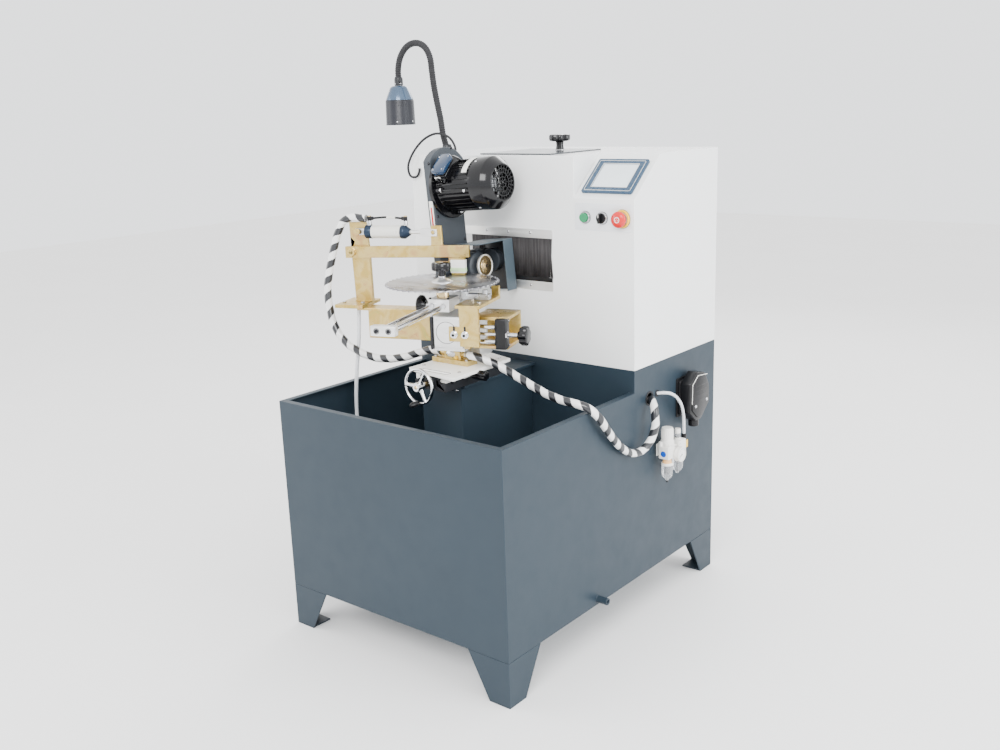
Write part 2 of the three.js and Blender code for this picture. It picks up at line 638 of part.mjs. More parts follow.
function sawBlade() {
  const points = [];
  const root = bladeRadius - 8;
  for (let i = 0; i < bladeTeeth; i += 1) {
    const start = (i / bladeTeeth) * 2 * Math.PI;
    const pitch = (2 * Math.PI) / bladeTeeth;
    for (const [r, part] of [[bladeRadius, 0], [bladeRadius - 1.5, 0.42], [root, 0.7], [root, 0.98]]) {
      const turn = start + part * pitch;
      points.push(new THREE.Vector2(r * Math.cos(turn), r * Math.sin(turn)));
    }
  }
  const shape = new THREE.Shape(points);
  const hole = new THREE.Path();
  hole.absarc(0, 0, 8 + gap, 0, 2 * Math.PI, true);
  shape.holes.push(hole);
  const disc = extruded(shape, 'z', bladeTop - bladeThick, bladeTop);
  const flange = cut(rod([0, 0, bladeTop - 14], [0, 0, bladeTop - 1], 27, 24),
    rod([0, 0, bladeTop - 15], [0, 0, bladeTop], 8 + gap, 16));
  const upper = cut(turned([[0, -1], [26, -1], [26, 5], [18, 9], [0, 9]], [0, 0, bladeTop], axes.z, 24),
    rod([0, 0, bladeTop - 2], [0, 0, bladeTop + 12], 8 + gap, 16));
  return join(disc, flange, upper);
}

function bladeKnob() {
  return lobedKnob([0, 0, bladeTop + 9 + gap], axes.z,
    { stem: 9, stemLength: 18, radius: 25, height: 22, lobes: 5 });
}

// ---- clamp: beam, post, lever and air cylinder ----
const postV = leverV + leverThick / 2 + gap;

function clampFrame() {
  const web = box([-238, block.x0 - 22 - gap], [60, 66], [742, 820]);
  const flange = box([-270, block.x0 - 22 - gap], [60, 112], [814, 820]);
  const seat = box([-330, -250], [52, 160], [819, 828]);
  const post = prism([[-299, 827], [-250, 827], [-252, 960], [-259, 1035], [-305, 1035]], 'y',
    postV, postV + 12);
  const gusset = box([-293, -256], [postV + 11, postV + 20], [827, 850]);
  const end = box([block.x0 - 28, block.x0 - 22 - gap], [60, 106], [765, 820]);
  const leverPin = rod([pivot.u, postV + 1, pivot.z], [pivot.u, leverV - 12, pivot.z], 7, 14);
  const leverHead = rod([pivot.u, leverV - 7, pivot.z], [pivot.u, leverV - 13, pivot.z], 11, 6);
  const cylinderPin = rod([rearPin.u, postV + 1, rearPin.z], [rearPin.u, leverV - 14, rearPin.z], 5, 12);
  const cylinderHead = rod([rearPin.u, leverV - 10.4, rearPin.z], [rearPin.u, leverV - 15, rearPin.z], 9, 12);
  return join(web, flange, seat, post, gusset, end, leverPin, leverHead, cylinderPin, cylinderHead);
}

function clampLever() {
  const half = leverThick / 2;
  const y0 = leverV - half;
  const y1 = leverV + half;
  const bar = prism([[-315, 943], [31, 951], [31, 981], [-315, 973]], 'y', y0, y1);
  const bore = rod([pivot.u, y0 - 1, pivot.z], [pivot.u, y1 + 1, pivot.z], 7 + gap, 14);
  const lug = prism([[-71, 972], [-39, 972], [-42, 1029], [-69, 1029]], 'y', leverV - 4, leverV + 4);
  const pin = rod([rodPin.u, leverV - 13, rodPin.z], [rodPin.u, leverV + 13, rodPin.z], 4.5, 12);
  const foot = join(box([-24, -14], [leverV - 5, leverV + 5], [bladeTop + 12, 958]),
    box([-17, 19], [leverV - 5, leverV + 5], [bladeTop + gap, 958]));
  return join(cut(bar, bore), lug, pin, foot);
}

function clampCylinder() {
  const y = leverV;
  const z = rearPin.z;
  const start = rearPin.u + 22;
  const nose = start + 124;
  const barrel = turned([[0, 0], [17, 0], [18, 4], [18, 104], [17, 108], [9, 124], [0, 124]], [start, y, z],
    axes.x, 20);
  const ear = cut(join(rod([rearPin.u, y - 5.4, z], [rearPin.u, y + 5.4, z], 10, 16),
    box([rearPin.u, start + 2], [y - 5.4, y + 5.4], [z - 9, z + 9])),
  rod([rearPin.u, y - 9, z], [rearPin.u, y + 9, z], 5 + gap, 12));
  const bore = rod([nose - 30, y, z], [nose + 40, y, z], 5 + gap, 12);
  const chamber = rod([start + 12, y, z], [nose - 20, y, z], 14, 16);
  const ports = [12, 98].map((along) => join(
    rod([start + along, y, z + 15], [start + along, y, z + 35], 5, 8),
    rod([start + along - 10, y, z + 34.5], [start + along + 10, y, z + 34.5], 6, 8),
  ));
  return join(cut(join(barrel, ear), bore, chamber), ...ports);
}

function cylinderRod() {
  const y = leverV;
  const z = rearPin.z;
  const fork = cut(box([rodPin.u - 36, rodPin.u + 10], [y - 10, y + 10], [z - 9, z + 9]),
    box([rodPin.u - 16, rodPin.u + 11], [y - 4.6, y + 4.6], [z - 10, z + 10]),
    rod([rodPin.u, y - 11, rodPin.z], [rodPin.u, y + 11, rodPin.z], 6, 12));
  const bar = rod([rearPin.u + 84, y, z], [rodPin.u - 35, y, z], 5, 12);
  const piston = rod([rearPin.u + 74, y, z], [rearPin.u + 85, y, z], 13.4, 16);
  return join(fork, bar, piston);
}

// ---- tooth feed: bracket, guide rods, pawl ----
function feedBracket() {
  const front = block.y0 - 6 - gap;
  const plate = box([62, 112], [front - 8, front], [758, 852]);
  const lobes = [48, 76].map((x) => join(rod([x, front, 787], [x, front - 8, 787], 14, 20),
    box([x - 14, x + 14], [front - 8, front], [770, 806])));
  const shelf = box([52, 116], [front - 8, 92], [851, 859]);
  const tab = box([96, 116], [84, 92], [858, 884]);
  const slots = [48, 76].map((x) => box([x - 2.5, x + 2.5], [front - 9, front + 1], [795, 803]));
  return cut(join(plate, ...lobes, shelf, tab), ...slots);
}

function feedUnit() {
  const x0 = block.x1 + gap;
  const channel = join(box([x0, 172], [-20, 84], [818, 826]), box([x0, 172], [76, 84], [750, 826]),
    box([x0, 172], [-20, 84], [748, 756]));
  const end = box([146, 172], [-36, 70], [750, 825]);
  const bars = [804, 786, 768].map((z) => rod([x0, -28, z], [150, -28, z], 5, 12));
  const nut = rod([171, -28, 786], [178, -28, 786], 8, 6);
  return cut(join(channel, end, ...bars, nut), rod([160, -28, 786], [190, -28, 786], 4.3, 12));
}

function strokeKnob() {
  const shaft = rod([164, -28, 786], [200, -28, 786], 4, 12);
  return join(shaft, lobedKnob([196, -28, 786], axes.x,
    { stem: 9, stemLength: 8, radius: 24, height: 24, lobes: 7 }));
}

function feedPawl() {
  const z = 859 + gap;
  const arm = box([40, 112], [20, 38], [z, z + 14]);
  const upright = box([40, 58], [20, 96], [z + 6, z + 20]);
  const finger = prism([[44, 96], [50, 112], [56, 96]], 'z', z + 8, z + 18);
  const screw = rod([100, 29, z + 13], [100, 29, z + 24], 7, 10);
  return join(arm, upright, finger, screw);
}

// ---- free hoses and leads, given as route points ----
const hoseR = 10.5;
const hoseToWall = [[40.4, -196, 724.3], [56, -196, 724.3], [80, -189, 719], [112, -176, 705],
  [160, -168, 684], [212, -166, 664], [262, -166, 648], [306, -164, 640], [342, -160, 636],
  [366, -149, 625.5], [377.5, -128, 601], [379.5, -90, 555], [377, -50, 516], [376, -12, 488],
  [376, 20, 472], [378, 48, 467.5], [382, 70, 473], [387.5, 86, 488], [392, 95.5, 508],
  [394.6, 98.4, 526], [394.6, 98.6, 541], [390.2, 102.7, 562.5], [378.1, 114.1, 578.8],
  [365.3, 126.4, 584.7]];
const hoseToClamp = [[-293.4, -193.9, 1046.6], [-311, -200, 1047], [-336, -208, 1048], [-357, -215, 1036],
  [-372, -223, 1006], [-382, -231, 966], [-392, -240, 917], [-396, -250, 863], [-387, -255, 808],
  [-368, -257, 761], [-335, -253, 724], [-295, -246, 703], [-252, -238, 692], [-204, -229, 692],
  [-155, -216, 701], [-112, -203, 716], [-82, -197, 724.3], [-63, -196, 724.3], [-48.5, -196, 724.3]];
const drainRoute = [[-280, 90, 813], [-281, 89, 786], [-283, 87, 744], [-287, 84, 700], [-292, 79, 650],
  [-296, 74, 590], [-297, 70, 520], [-296, 68, 440], [-294, 68, 380]];
const airRoute = [[361, 164, 590], [373, 169, 592], [385, 184, 589], [391, 206, 576], [392, 230, 552],
  [390, 247, 524], [388, 255, 496], [388, 256, 478], [388, 256, 462.4]];
const lampLead = [[-222, 86, 1193.4], [-222, 85, 1212], [-238, 79, 1238], [-270, 66, 1248],
  [-304, 53, 1234], [-333, 45, 1206], [-350, 41, 1180], [-357, 40, 1161], [-357, 41.5, 1146],
  [-353, 43.5, 1135.2], [-342.5, 46, 1131.5], [-332, 49, 1135.2], [-328, 52, 1146],
  [-327.5, 53.8, 1156]];

// ---- assembly ----
const machine = new THREE.Group();
const fixed = new THREE.Group();
machine.add(fixed);

addPiece(fixed, 'coolant_tank', coolantTank(), tankPaint);
for (const [name, signX, signY] of [['leg_front_left', 1, 1], ['leg_front_right', -1, 1],
  ['leg_rear_left', 1, -1], ['leg_rear_right', -1, -1]]) {
  addPiece(fixed, name, leg(signX, signY), tankPaint);
}
addPiece(fixed, 'cabinet_shell', cabinetShell(), whitePaint);
addPiece(fixed, 'rear_door', rearDoor(), whitePaint);
addPiece(fixed, 'hatch_plate', hatchPlate(), darkPaint);
addPiece(fixed, 'hatch_knob', hatchKnob(), blackPlastic);

const slope = new THREE.Group();
slope.position.set(0, frontFace, slopeBottom);
slope.rotation.x = slopeAngle;
fixed.add(slope);
addPiece(slope, 'hmi_panel', hmiPanel(), screenFrame);

addPiece(fixed, 'start_bezel', bezel(buttons.start, 15), chrome);
addPiece(fixed, 'selector_bezel', bezel(buttons.selector, 15), chrome);
addPiece(fixed, 'stop_bezel', bezel(buttons.stop, 22), yellowPlastic);
addPiece(fixed, 'start_button', startButton(), greenPlastic);
addPiece(fixed, 'selector_knob', selectorKnob(), blackPlastic);
addPiece(fixed, 'stop_button', stopButton(), redPlastic);
addPiece(fixed, 'brush_strip_top', brushStrip(985, 1007), alloy);
addPiece(fixed, 'brush_strip_bottom', brushStrip(851, 873), alloy);
addPiece(fixed, 'brush_curtain', brushCurtain(), rubber);
addPiece(fixed, 'power_connector', powerConnector(), blackPlastic);
addPiece(fixed, 'air_unit', airUnit(), whitePlastic);
addPiece(fixed, 'air_knob', airKnob(), whitePlastic);
addPiece(fixed, 'lamp_arm', lampArm(), blackPlastic);
addPiece(fixed, 'lamp_shade', lampShade(), blackPlastic);
addPiece(fixed, 'head_rails', headRails(), steel);
addPiece(fixed, 'head_slide', headSlide(), steel);

const head = new THREE.Group();
head.position.set(armX, 0, armZ);
head.rotation.y = THREE.MathUtils.degToRad(-headTilt);
machine.add(head);
addPiece(head, 'belt_guard', beltGuard(), darkPaint);
addPiece(head, 'motor_body', motorBody(), blackGloss);
addPiece(head, 'fan_cover', fanCover(), blackGloss);
addPiece(head, 'motor_rotor', motorRotor(), steel);
addPiece(head, 'drive_belt', driveBelt(), rubber);
addPiece(head, 'spindle_housing', spindleHousing(), darkPaint);
addPiece(head, 'grinding_spindle', grindingSpindle(), steel);
addPiece(head, 'grinding_wheel', grindingWheel(), brass);
addPiece(head, 'wheel_hood', wheelHood(), tankPaint);

addPiece(fixed, 'pedestal', pedestal(), tankPaint);
addPiece(fixed, 'slide_base', slideBase(), blackPlastic);
addPiece(fixed, 'handwheel', handwheelPiece(), chrome);
addPiece(fixed, 'table_plate', tablePlate(), whitePlastic);
addPiece(fixed, 'slide_lock', slideLock(), blackPlastic);
addPiece(fixed, 'valve_block', valveBlock(), zinc);

const carriage = new THREE.Group();
carriage.position.set(bladeX, bladeY, 0);
carriage.rotation.z = THREE.MathUtils.degToRad(swivel);
machine.add(carriage);
addPiece(carriage, 'carriage_block', carriageBlock(), alloy);
addPiece(carriage, 'arbor_rail', arborRail(), chrome);
addPiece(carriage, 'arbor_block', arborBlock(), alloy);
addPiece(carriage, 'arbor_knob', arborKnob(), blackPlastic);
addPiece(carriage, 'saw_blade', sawBlade(), steel);
addPiece(carriage, 'blade_knob', bladeKnob(), blackPlastic);
addPiece(carriage, 'clamp_frame', clampFrame(), zinc);
addPiece(carriage, 'clamp_lever', clampLever(), zinc);
addPiece(carriage, 'clamp_cylinder', clampCylinder(), whitePlastic);
addPiece(carriage, 'cylinder_rod', cylinderRod(), steel);
addPiece(carriage, 'feed_bracket', feedBracket(), zinc);
addPiece(carriage, 'feed_unit', feedUnit(), zinc);
addPiece(carriage, 'stroke_knob', strokeKnob(), blackPlastic);
addPiece(carriage, 'feed_pawl', feedPawl(), steel);
addPiece(carriage, 'drain_tube', tube(drainRoute, 5, 8, 20), clearTube);

addPiece(fixed, 'hose_to_wall', tube(hoseToWall, hoseR, 8, 34), bandedHose);
addPiece(fixed, 'hose_to_clamp', tube(hoseToClamp, hoseR, 8, 34), bandedHose);
addPiece(fixed, 'air_tube', tube(airRoute, 4, 8, 16), clearTube);
addPiece(fixed, 'lamp_lead', tube(lampLead, 3.2, 8, 24), rubber);

// The origin is the middle of the footprint, cords left out.
const cords = ['drain_tube', 'hose_to_wall', 'hose_to_clamp', 'air_tube', 'lamp_lead'];
machine.updateMatrixWorld(true);
const bounds = new THREE.Box3();
machine.traverse((item) => {
  if (item.isMesh && !cords.includes(item.name)) bounds.expandByObject(item, true);
});
const middle = bounds.getCenter(new THREE.Vector3());
machine.position.set(-middle.x, -middle.y, -bounds.min.z);

export default machine;
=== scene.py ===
# Looks of the wet grinding sharpener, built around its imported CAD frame. Lengths in the helpers are
# millimetres in the machine's own frame (origin on the floor under the tank's middle), and every piece
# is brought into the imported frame, in metres, when it is made.
import json
import math
import random

import bmesh
import bpy
from mathutils import Matrix, Vector
from mathutils.geometry import tessellate_polygon

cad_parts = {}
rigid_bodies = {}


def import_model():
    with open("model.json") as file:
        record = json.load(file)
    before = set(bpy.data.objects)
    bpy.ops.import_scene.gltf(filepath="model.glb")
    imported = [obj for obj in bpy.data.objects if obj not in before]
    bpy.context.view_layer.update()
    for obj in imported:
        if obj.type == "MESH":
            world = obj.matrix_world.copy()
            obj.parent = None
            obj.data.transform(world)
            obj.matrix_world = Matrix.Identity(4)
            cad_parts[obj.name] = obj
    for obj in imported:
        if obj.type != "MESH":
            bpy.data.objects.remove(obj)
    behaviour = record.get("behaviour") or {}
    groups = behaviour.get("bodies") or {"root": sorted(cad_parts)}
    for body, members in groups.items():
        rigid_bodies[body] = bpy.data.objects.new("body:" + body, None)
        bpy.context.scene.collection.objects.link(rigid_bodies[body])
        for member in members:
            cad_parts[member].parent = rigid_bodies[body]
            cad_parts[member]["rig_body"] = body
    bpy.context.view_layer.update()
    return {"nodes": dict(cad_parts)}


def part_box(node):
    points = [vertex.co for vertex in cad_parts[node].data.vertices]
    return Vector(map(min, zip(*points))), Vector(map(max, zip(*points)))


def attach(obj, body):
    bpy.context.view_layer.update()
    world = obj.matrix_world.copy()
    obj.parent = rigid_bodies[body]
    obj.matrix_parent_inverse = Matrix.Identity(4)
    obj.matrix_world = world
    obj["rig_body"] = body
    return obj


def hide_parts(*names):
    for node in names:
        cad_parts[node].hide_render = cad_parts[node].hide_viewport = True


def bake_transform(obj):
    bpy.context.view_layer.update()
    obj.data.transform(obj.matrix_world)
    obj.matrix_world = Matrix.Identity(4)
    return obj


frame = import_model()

random.seed(7)

# ---- directions ----
RIGHT, LEFT, BACK, FRONT, UP = (1, 0, 0), (-1, 0, 0), (0, 1, 0), (0, -1, 0), (0, 0, 1)

# ---- driving dimensions, as in the CAD part ----
HALF_W, HALF_D, LEG_H = 360.0, 472.0, 113.0
RIM_H, SHELF_H, TOP_H = 614.0, 671.0, 1192.0
FRONT_Y = 57.0
SLOPE_X, SLOPE_LOW, SLOPE_BACK = 185.0, 1090.0, 177.0
ARM = (-60.0, 0.0, 925.0)
HEAD_TILT = math.radians(5)
AXIS_Y, MOTOR_UP, WHEEL_DOWN = -42.0, 199.0, 7.0
BLADE = (-20.0, -214.0, 905.5)
SWIVEL = math.radians(19)
BUTTON_Z = 1044.0
START_X, SELECTOR_X, STOP_X = 219.0, 269.0, 326.0
HATCH_KNOB = (6.0, 251.0)
LEVER_V = 108.0
HOSE_PITCH = 44.0                   # length of hose for one turn of its black ribbon

tank_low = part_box("coolant_tank")[0]
SHIFT = tank_low - Vector((-HALF_W, -HALF_D, LEG_H)) / 1000

MACHINE = Matrix.Translation(SHIFT) @ Matrix.Scale(0.001, 4)
HEAD = MACHINE @ Matrix.Translation(ARM) @ Matrix.Rotation(-HEAD_TILT, 4, "Y")
CARRIAGE = MACHINE @ Matrix.Translation((BLADE[0], BLADE[1], 0)) @ Matrix.Rotation(SWIVEL, 4, "Z")
SLOPE_ANGLE = math.atan2(TOP_H - SLOPE_LOW, SLOPE_BACK - FRONT_Y)
SLOPE = MACHINE @ Matrix.Translation((0, FRONT_Y, SLOPE_LOW)) @ Matrix.Rotation(SLOPE_ANGLE, 4, "X")


def at(x, y, z, space=MACHINE):
    """A point in millimetres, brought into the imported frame."""
    return space @ Vector((x, y, z))


# ---- camera ----
def make_camera():
    data = bpy.data.cameras.new("camera")
    data.sensor_width = 36
    data.lens = 38.305
    data.clip_end = 50
    camera = bpy.data.objects.new("camera", data)
    right = Vector((0.779, 0.6261, -0.0328)).normalized()
    down = Vector((0.132, -0.215, -0.9676)).normalized()
    ahead = right.cross(down).normalized()
    down = ahead.cross(right).normalized()
    turn = Matrix((right, -down, -ahead)).transposed().to_4x4()
    camera.matrix_world = Matrix.Translation(at(1711.9, -2121.4, 1330.3)) @ turn
    bpy.context.scene.collection.objects.link(camera)
    bpy.context.scene.camera = camera


make_camera()


# ---- materials ----
class Nodes:
    """A small helper around one material's node tree."""

    def __init__(self, name):
        self.material = bpy.data.materials.new(name)
        self.material.use_nodes = True
        self.tree = self.material.node_tree
        self.shader = self.tree.nodes["Principled BSDF"]
        self.coords = self.tree.nodes.new("ShaderNodeTexCoord").outputs["Object"]

    def new(self, kind, **inputs):
        node = self.tree.nodes.new("ShaderNode" + kind)
        for key, value in inputs.items():
            node.inputs[key.replace("_", " ")].default_value = value
        return node

    def link(self, source, target):
        self.tree.links.new(source, target)

    def set(self, **inputs):
        for key, value in inputs.items():
            self.shader.inputs[key.replace("_", " ")].default_value = value

    def noise(self, scale, detail=4.0, stretch=(1, 1, 1), distortion=0.0):
        mapping = self.new("Mapping")
        mapping.inputs["Scale"].default_value = stretch
        self.link(self.coords, mapping.inputs["Vector"])
        node = self.new("TexNoise", Scale=scale, Detail=detail, Distortion=distortion)
        self.link(mapping.outputs["Vector"], node.inputs["Vector"])
        return node.outputs["Fac"]

    def ramp(self, source, stops):
        node = self.new("ValToRGB")
        elements = node.color_ramp.elements
        while len(elements) < len(stops):
            elements.new(0.5)
        for element, (place, colour) in zip(elements, stops):
            element.position = place
            element.color = (*colour, 1)
        self.link(source, node.inputs["Fac"])
        return node.outputs["Color"]

    def spread(self, source, low, high):
        node = self.new("MapRange")
        node.inputs["From Min"].default_value = 0.3
        node.inputs["From Max"].default_value = 0.7
        node.inputs["To Min"].default_value = low
        node.inputs["To Max"].default_value = high
        self.link(source, node.inputs["Value"])
        return node.outputs["Result"]

    def bump(self, source, strength, distance=0.0004):
        node = self.new("Bump", Strength=strength, Distance=distance)
        self.link(source, node.inputs["Height"])
        previous = self.shader.inputs["Normal"].links
        if previous:
            self.link(previous[0].from_socket, node.inputs["Normal"])
        self.link(node.outputs["Normal"], self.shader.inputs["Normal"])


def shade(colour, factor):
    return tuple(min(1.0, c * factor) for c in colour)


def finish_of(name, colour, rough, metal=0, grain=1500, relief=0.1, contrast=0.06, coat=0, patches=14,
              stretch=(1, 1, 1)):
    """A general surface: fine grain in the bump, slow patches in colour and roughness."""
    n = Nodes(name)
    n.set(Metallic=metal, Coat_Weight=coat, Coat_Roughness=0.12, Specular_IOR_Level=0.3)
    slow = n.noise(patches, 5.0, stretch)
    n.link(n.ramp(slow, [(0.3, shade(colour, 1 - contrast)), (0.7, shade(colour, 1 + contrast))]),
           n.shader.inputs["Base Color"])
    fine = n.noise(grain, 3.0, stretch)
    n.link(n.spread(n.noise(patches * 5, 6.0), rough * 0.9, min(1.0, rough * 1.1)),
           n.shader.inputs["Roughness"])
    n.bump(fine, relief)
    return n.material


def brushed(name, colour, rough, stretch, contrast=0.12):
    """Metal with fine streaks along one direction."""
    n = Nodes(name)
    n.set(Metallic=1.0)
    streaks = n.noise(60.0, 8.0, stretch)
    n.link(n.ramp(streaks, [(0.3, shade(colour, 1 - contrast)), (0.7, shade(colour, 1 + contrast))]),
           n.shader.inputs["Base Color"])
    n.link(n.spread(streaks, rough * 0.7, rough * 1.4), n.shader.inputs["Roughness"])
    n.bump(streaks, 0.12, 0.0002)
    return n.material


def chromate(name):
    """Yellow passivated zinc: gold with slow pink and green clouds and faint scratches."""
    n = Nodes(name)
    n.set(Metallic=0.85)
    clouds = n.noise(22.0, 5.0, distortion=1.2)
    gold, rose, green = (0.54, 0.37, 0.10), (0.54, 0.33, 0.14), (0.44, 0.40, 0.12)
    pale = (0.62, 0.47, 0.18)
    n.link(n.ramp(clouds, [(0.28, green), (0.42, gold), (0.55, pale), (0.7, rose)]),
           n.shader.inputs["Base Color"])
    n.link(n.spread(n.noise(90.0, 6.0), 0.24, 0.46), n.shader.inputs["Roughness"])
    n.bump(n.noise(700.0, 4.0, (1, 1, 0.15)), 0.12, 0.0002)
    return n.material


def banded(name, pitch):
    """A hose wrapped with a black ribbon over a pale braid; it reads the hose's own map (turn, length)."""
    n = Nodes(name)
    uv = n.new("TexCoord").outputs["UV"]
    split = n.new("SeparateXYZ")
    n.link(uv, split.inputs["Vector"])
    along = n.new("Math")
    along.operation = "MULTIPLY_ADD"
    n.link(split.outputs["Y"], along.inputs[0])
    along.inputs[1].default_value = 1000 / pitch
    n.link(split.outputs["X"], along.inputs[2])
    part = n.new("Math")
    part.operation = "FRACT"
    n.link(along.outputs[0], part.inputs[0])
    wobble = n.new("Math")
    wobble.operation = "MULTIPLY_ADD"
    n.link(n.noise(70.0, 3.0), wobble.inputs[0])
    wobble.inputs[1].default_value = 0.16
    n.link(part.outputs[0], wobble.inputs[2])
    black, white = (0.012, 0.013, 0.016), (0.80, 0.80, 0.79)
    n.link(n.ramp(wobble.outputs[0], [(0.08, black), (0.11, white), (0.60, white), (0.63, black)]),
           n.shader.inputs["Base Color"])
    n.set(Roughness=0.28, Coat_Weight=0.4)
    n.bump(n.noise(420.0, 3.0), 0.25, 0.0003)
    return n.material


def see_through(name, colour, rough, weight):
    n = Nodes(name)
    n.set(Base_Color=(*colour, 1), Roughness=rough, Transmission_Weight=weight, IOR=1.45)
    n.bump(n.noise(120.0, 3.0), 0.08, 0.0003)
    return n.material


def screen_glow(name):
    """A switched-on pale display, its tint drifting slowly across it."""
    n = Nodes(name)
    tint = n.ramp(n.noise(6.0, 1.0), [(0.2, (0.62, 0.70, 0.74)), (0.8, (0.74, 0.80, 0.82))])
    n.link(tint, n.shader.inputs["Base Color"])
    n.link(tint, n.shader.inputs["Emission Color"])
    n.set(Roughness=0.12, Emission_Strength=0.18, Coat_Weight=0.6)
    return n.material


def radial_steel(name, centre):
    """Ground steel whose streaks run round the blade's centre."""
    n = Nodes(name)
    n.set(Metallic=1.0, Anisotropic=0.5)
    away = n.new("VectorMath")
    away.operation = "SUBTRACT"
    n.link(n.coords, away.inputs[0])
    away.inputs[1].default_value = centre
    length = n.new("VectorMath")
    length.operation = "LENGTH"
    n.link(away.outputs["Vector"], length.inputs[0])
    rings = n.new("TexNoise", Scale=900.0, Detail=4.0)
    rings.noise_dimensions = "1D"
    n.link(length.outputs["Value"], rings.inputs["W"])
    blotch = n.noise(16.0, 5.0)
    n.link(n.ramp(blotch, [(0.35, (0.26, 0.25, 0.27)), (0.65, (0.52, 0.52, 0.54))]),
           n.shader.inputs["Base Color"])
    n.link(n.spread(blotch, 0.20, 0.40), n.shader.inputs["Roughness"])
    n.bump(rings.outputs["Fac"], 0.15, 0.0001)
    return n.material


# Painted, moulded and plated surfaces: key, name, base colour, roughness, metal, grain, relief, contrast,
# and where they differ from none and 14, coat and patches.
SURFACES = [
    ("tank", "tank_enamel", (0.016, 0.028, 0.040), 0.46, 0, 900, 0.10, 0.03, 0, 5),
    ("hood", "hood_enamel", (0.062, 0.085, 0.103), 0.42, 0, 900, 0.12, 0.07),
    ("white", "cabinet_enamel", (0.83, 0.84, 0.84), 0.24, 0, 700, 0.06, 0.012, 0.3, 4),
    ("dark", "guard_enamel", (0.038, 0.045, 0.054), 0.38, 0, 1100, 0.14, 0.08),
    ("gloss", "motor_enamel", (0.003, 0.003, 0.004), 0.13, 0, 350, 0.05, 0.1, 0.15),
    ("black", "black_enamel", (0.018, 0.019, 0.022), 0.36, 0, 1200, 0.15, 0.1),
    ("plastic", "black_moulding", (0.006, 0.006, 0.007), 0.34, 0, 2200, 0.22, 0.08),
    ("rubber", "rubber_skin", (0.016, 0.016, 0.018), 0.62, 0, 1500, 0.3, 0.1),
    ("chrome", "chrome_plate", (0.78, 0.79, 0.81), 0.07, 1, 300, 0.03, 0.05),
    ("bolt", "bolt_steel", (0.55, 0.55, 0.56), 0.25, 1, 1800, 0.2, 0.15),
    ("socket", "black_oxide", (0.03, 0.03, 0.034), 0.3, 0.7, 1800, 0.2, 0.2),
    ("brass", "turned_brass", (0.66, 0.50, 0.26), 0.22, 1, 900, 0.14, 0.16),
    ("grit", "diamond_grit", (0.45, 0.44, 0.41), 0.5, 0.6, 3500, 0.8, 0.2),
    ("carbide", "carbide_tips", (0.20, 0.20, 0.21), 0.3, 0.9, 2500, 0.2, 0.2),
    ("red", "red_moulding", (0.58, 0.010, 0.010), 0.22, 0, 1600, 0.06, 0.05, 0.4),
    ("green", "green_moulding", (0.002, 0.22, 0.08), 0.22, 0, 1600, 0.06, 0.05, 0.4),
    ("yellow", "yellow_moulding", (0.80, 0.48, 0.02), 0.3, 0, 1600, 0.08, 0.05),
    ("blue", "blue_moulding", (0.005, 0.07, 0.42), 0.3, 0, 1600, 0.08, 0.05),
    ("navy", "panel_frame", (0.024, 0.058, 0.105), 0.28, 0, 1800, 0.12, 0.05, 0.2),
    ("pale", "pale_moulding", (0.78, 0.77, 0.73), 0.36, 0, 1500, 0.1, 0.04),
    ("cream", "cream_plate", (0.88, 0.87, 0.84), 0.32, 0, 800, 0.1, 0.05, 0, 20),
    ("barrel", "cylinder_barrel", (0.72, 0.71, 0.66), 0.3, 0.25, 900, 0.08, 0.05),
    ("caps", "cylinder_caps", (0.016, 0.028, 0.050), 0.3, 0.4, 900, 0.12, 0.1),
    ("lamp", "lamp_enamel", (0.014, 0.015, 0.020), 0.36, 0, 1300, 0.10, 0.12),
    ("seal", "white_seal", (0.74, 0.75, 0.74), 0.5, 0, 900, 0.3, 0.08),
    ("tape", "pad_tape", (0.46, 0.66, 0.36), 0.4, 0, 900, 0.15, 0.2),
    ("orange", "tinted_ring", (0.86, 0.50, 0.22), 0.2, 0, 900, 0.05, 0.05, 0.4),
    ("lamp_top", "lamp_cap_enamel", (0.06, 0.10, 0.16), 0.14, 0.4, 900, 0.05, 0.15, 0.4),
    ("lid", "box_lid_enamel", (0.011, 0.031, 0.072), 0.13, 0, 500, 0.06, 0.1, 0.7),
    ("sheet", "hatch_enamel", (0.035, 0.042, 0.05), 0.2, 0, 700, 0.05, 0.08, 0.5),
    ("film", "label_film", (0.74, 0.76, 0.79), 0.3, 0, 900, 0.05, 0.01),
    ("floor", "pale_floor", (0.86, 0.86, 0.86), 0.7, 0, 300, 0.02, 0.01, 0, 2),
]


def make_materials():
    m = {key: finish_of(name, *looks) for key, name, *looks in SURFACES}
    m["bristle"] = finish_of("bristle_fibre", (0.038, 0.035, 0.036), 0.5, grain=420, relief=0.2,
                             patches=260, contrast=0.6, stretch=(1, 1, 0.03))
    m["zinc"] = chromate("yellow_zinc")
    m["alloy"] = brushed("milled_alloy", (0.84, 0.84, 0.83), 0.42, (0.08, 1, 1), 0.06)
    m["steel"] = brushed("ground_steel", (0.50, 0.51, 0.53), 0.3, (1, 0.06, 1))
    m["blade"] = radial_steel("blade_steel", at(*BLADE))
    m["bowl"] = see_through("clear_bowl", (0.93, 0.95, 0.97), 0.08, 0.8)
    m["tube"] = see_through("clear_tube", (0.88, 0.90, 0.93), 0.22, 0.35)
    m["screen"] = screen_glow("display")
    m["hose"] = banded("wrapped_hose", HOSE_PITCH)
    return m


M = make_materials()


# ---- mesh making ----
AXES = {"x": Vector(RIGHT), "y": Vector(BACK), "z": Vector(UP)}
LETTER_FRAMES = {  # right, up and out of an outline drawn across each axis
    "x": (AXES["y"], AXES["z"], AXES["x"]),
    "y": (AXES["x"], AXES["z"], AXES["y"]),
    "z": (AXES["x"], AXES["y"], AXES["z"]),
}


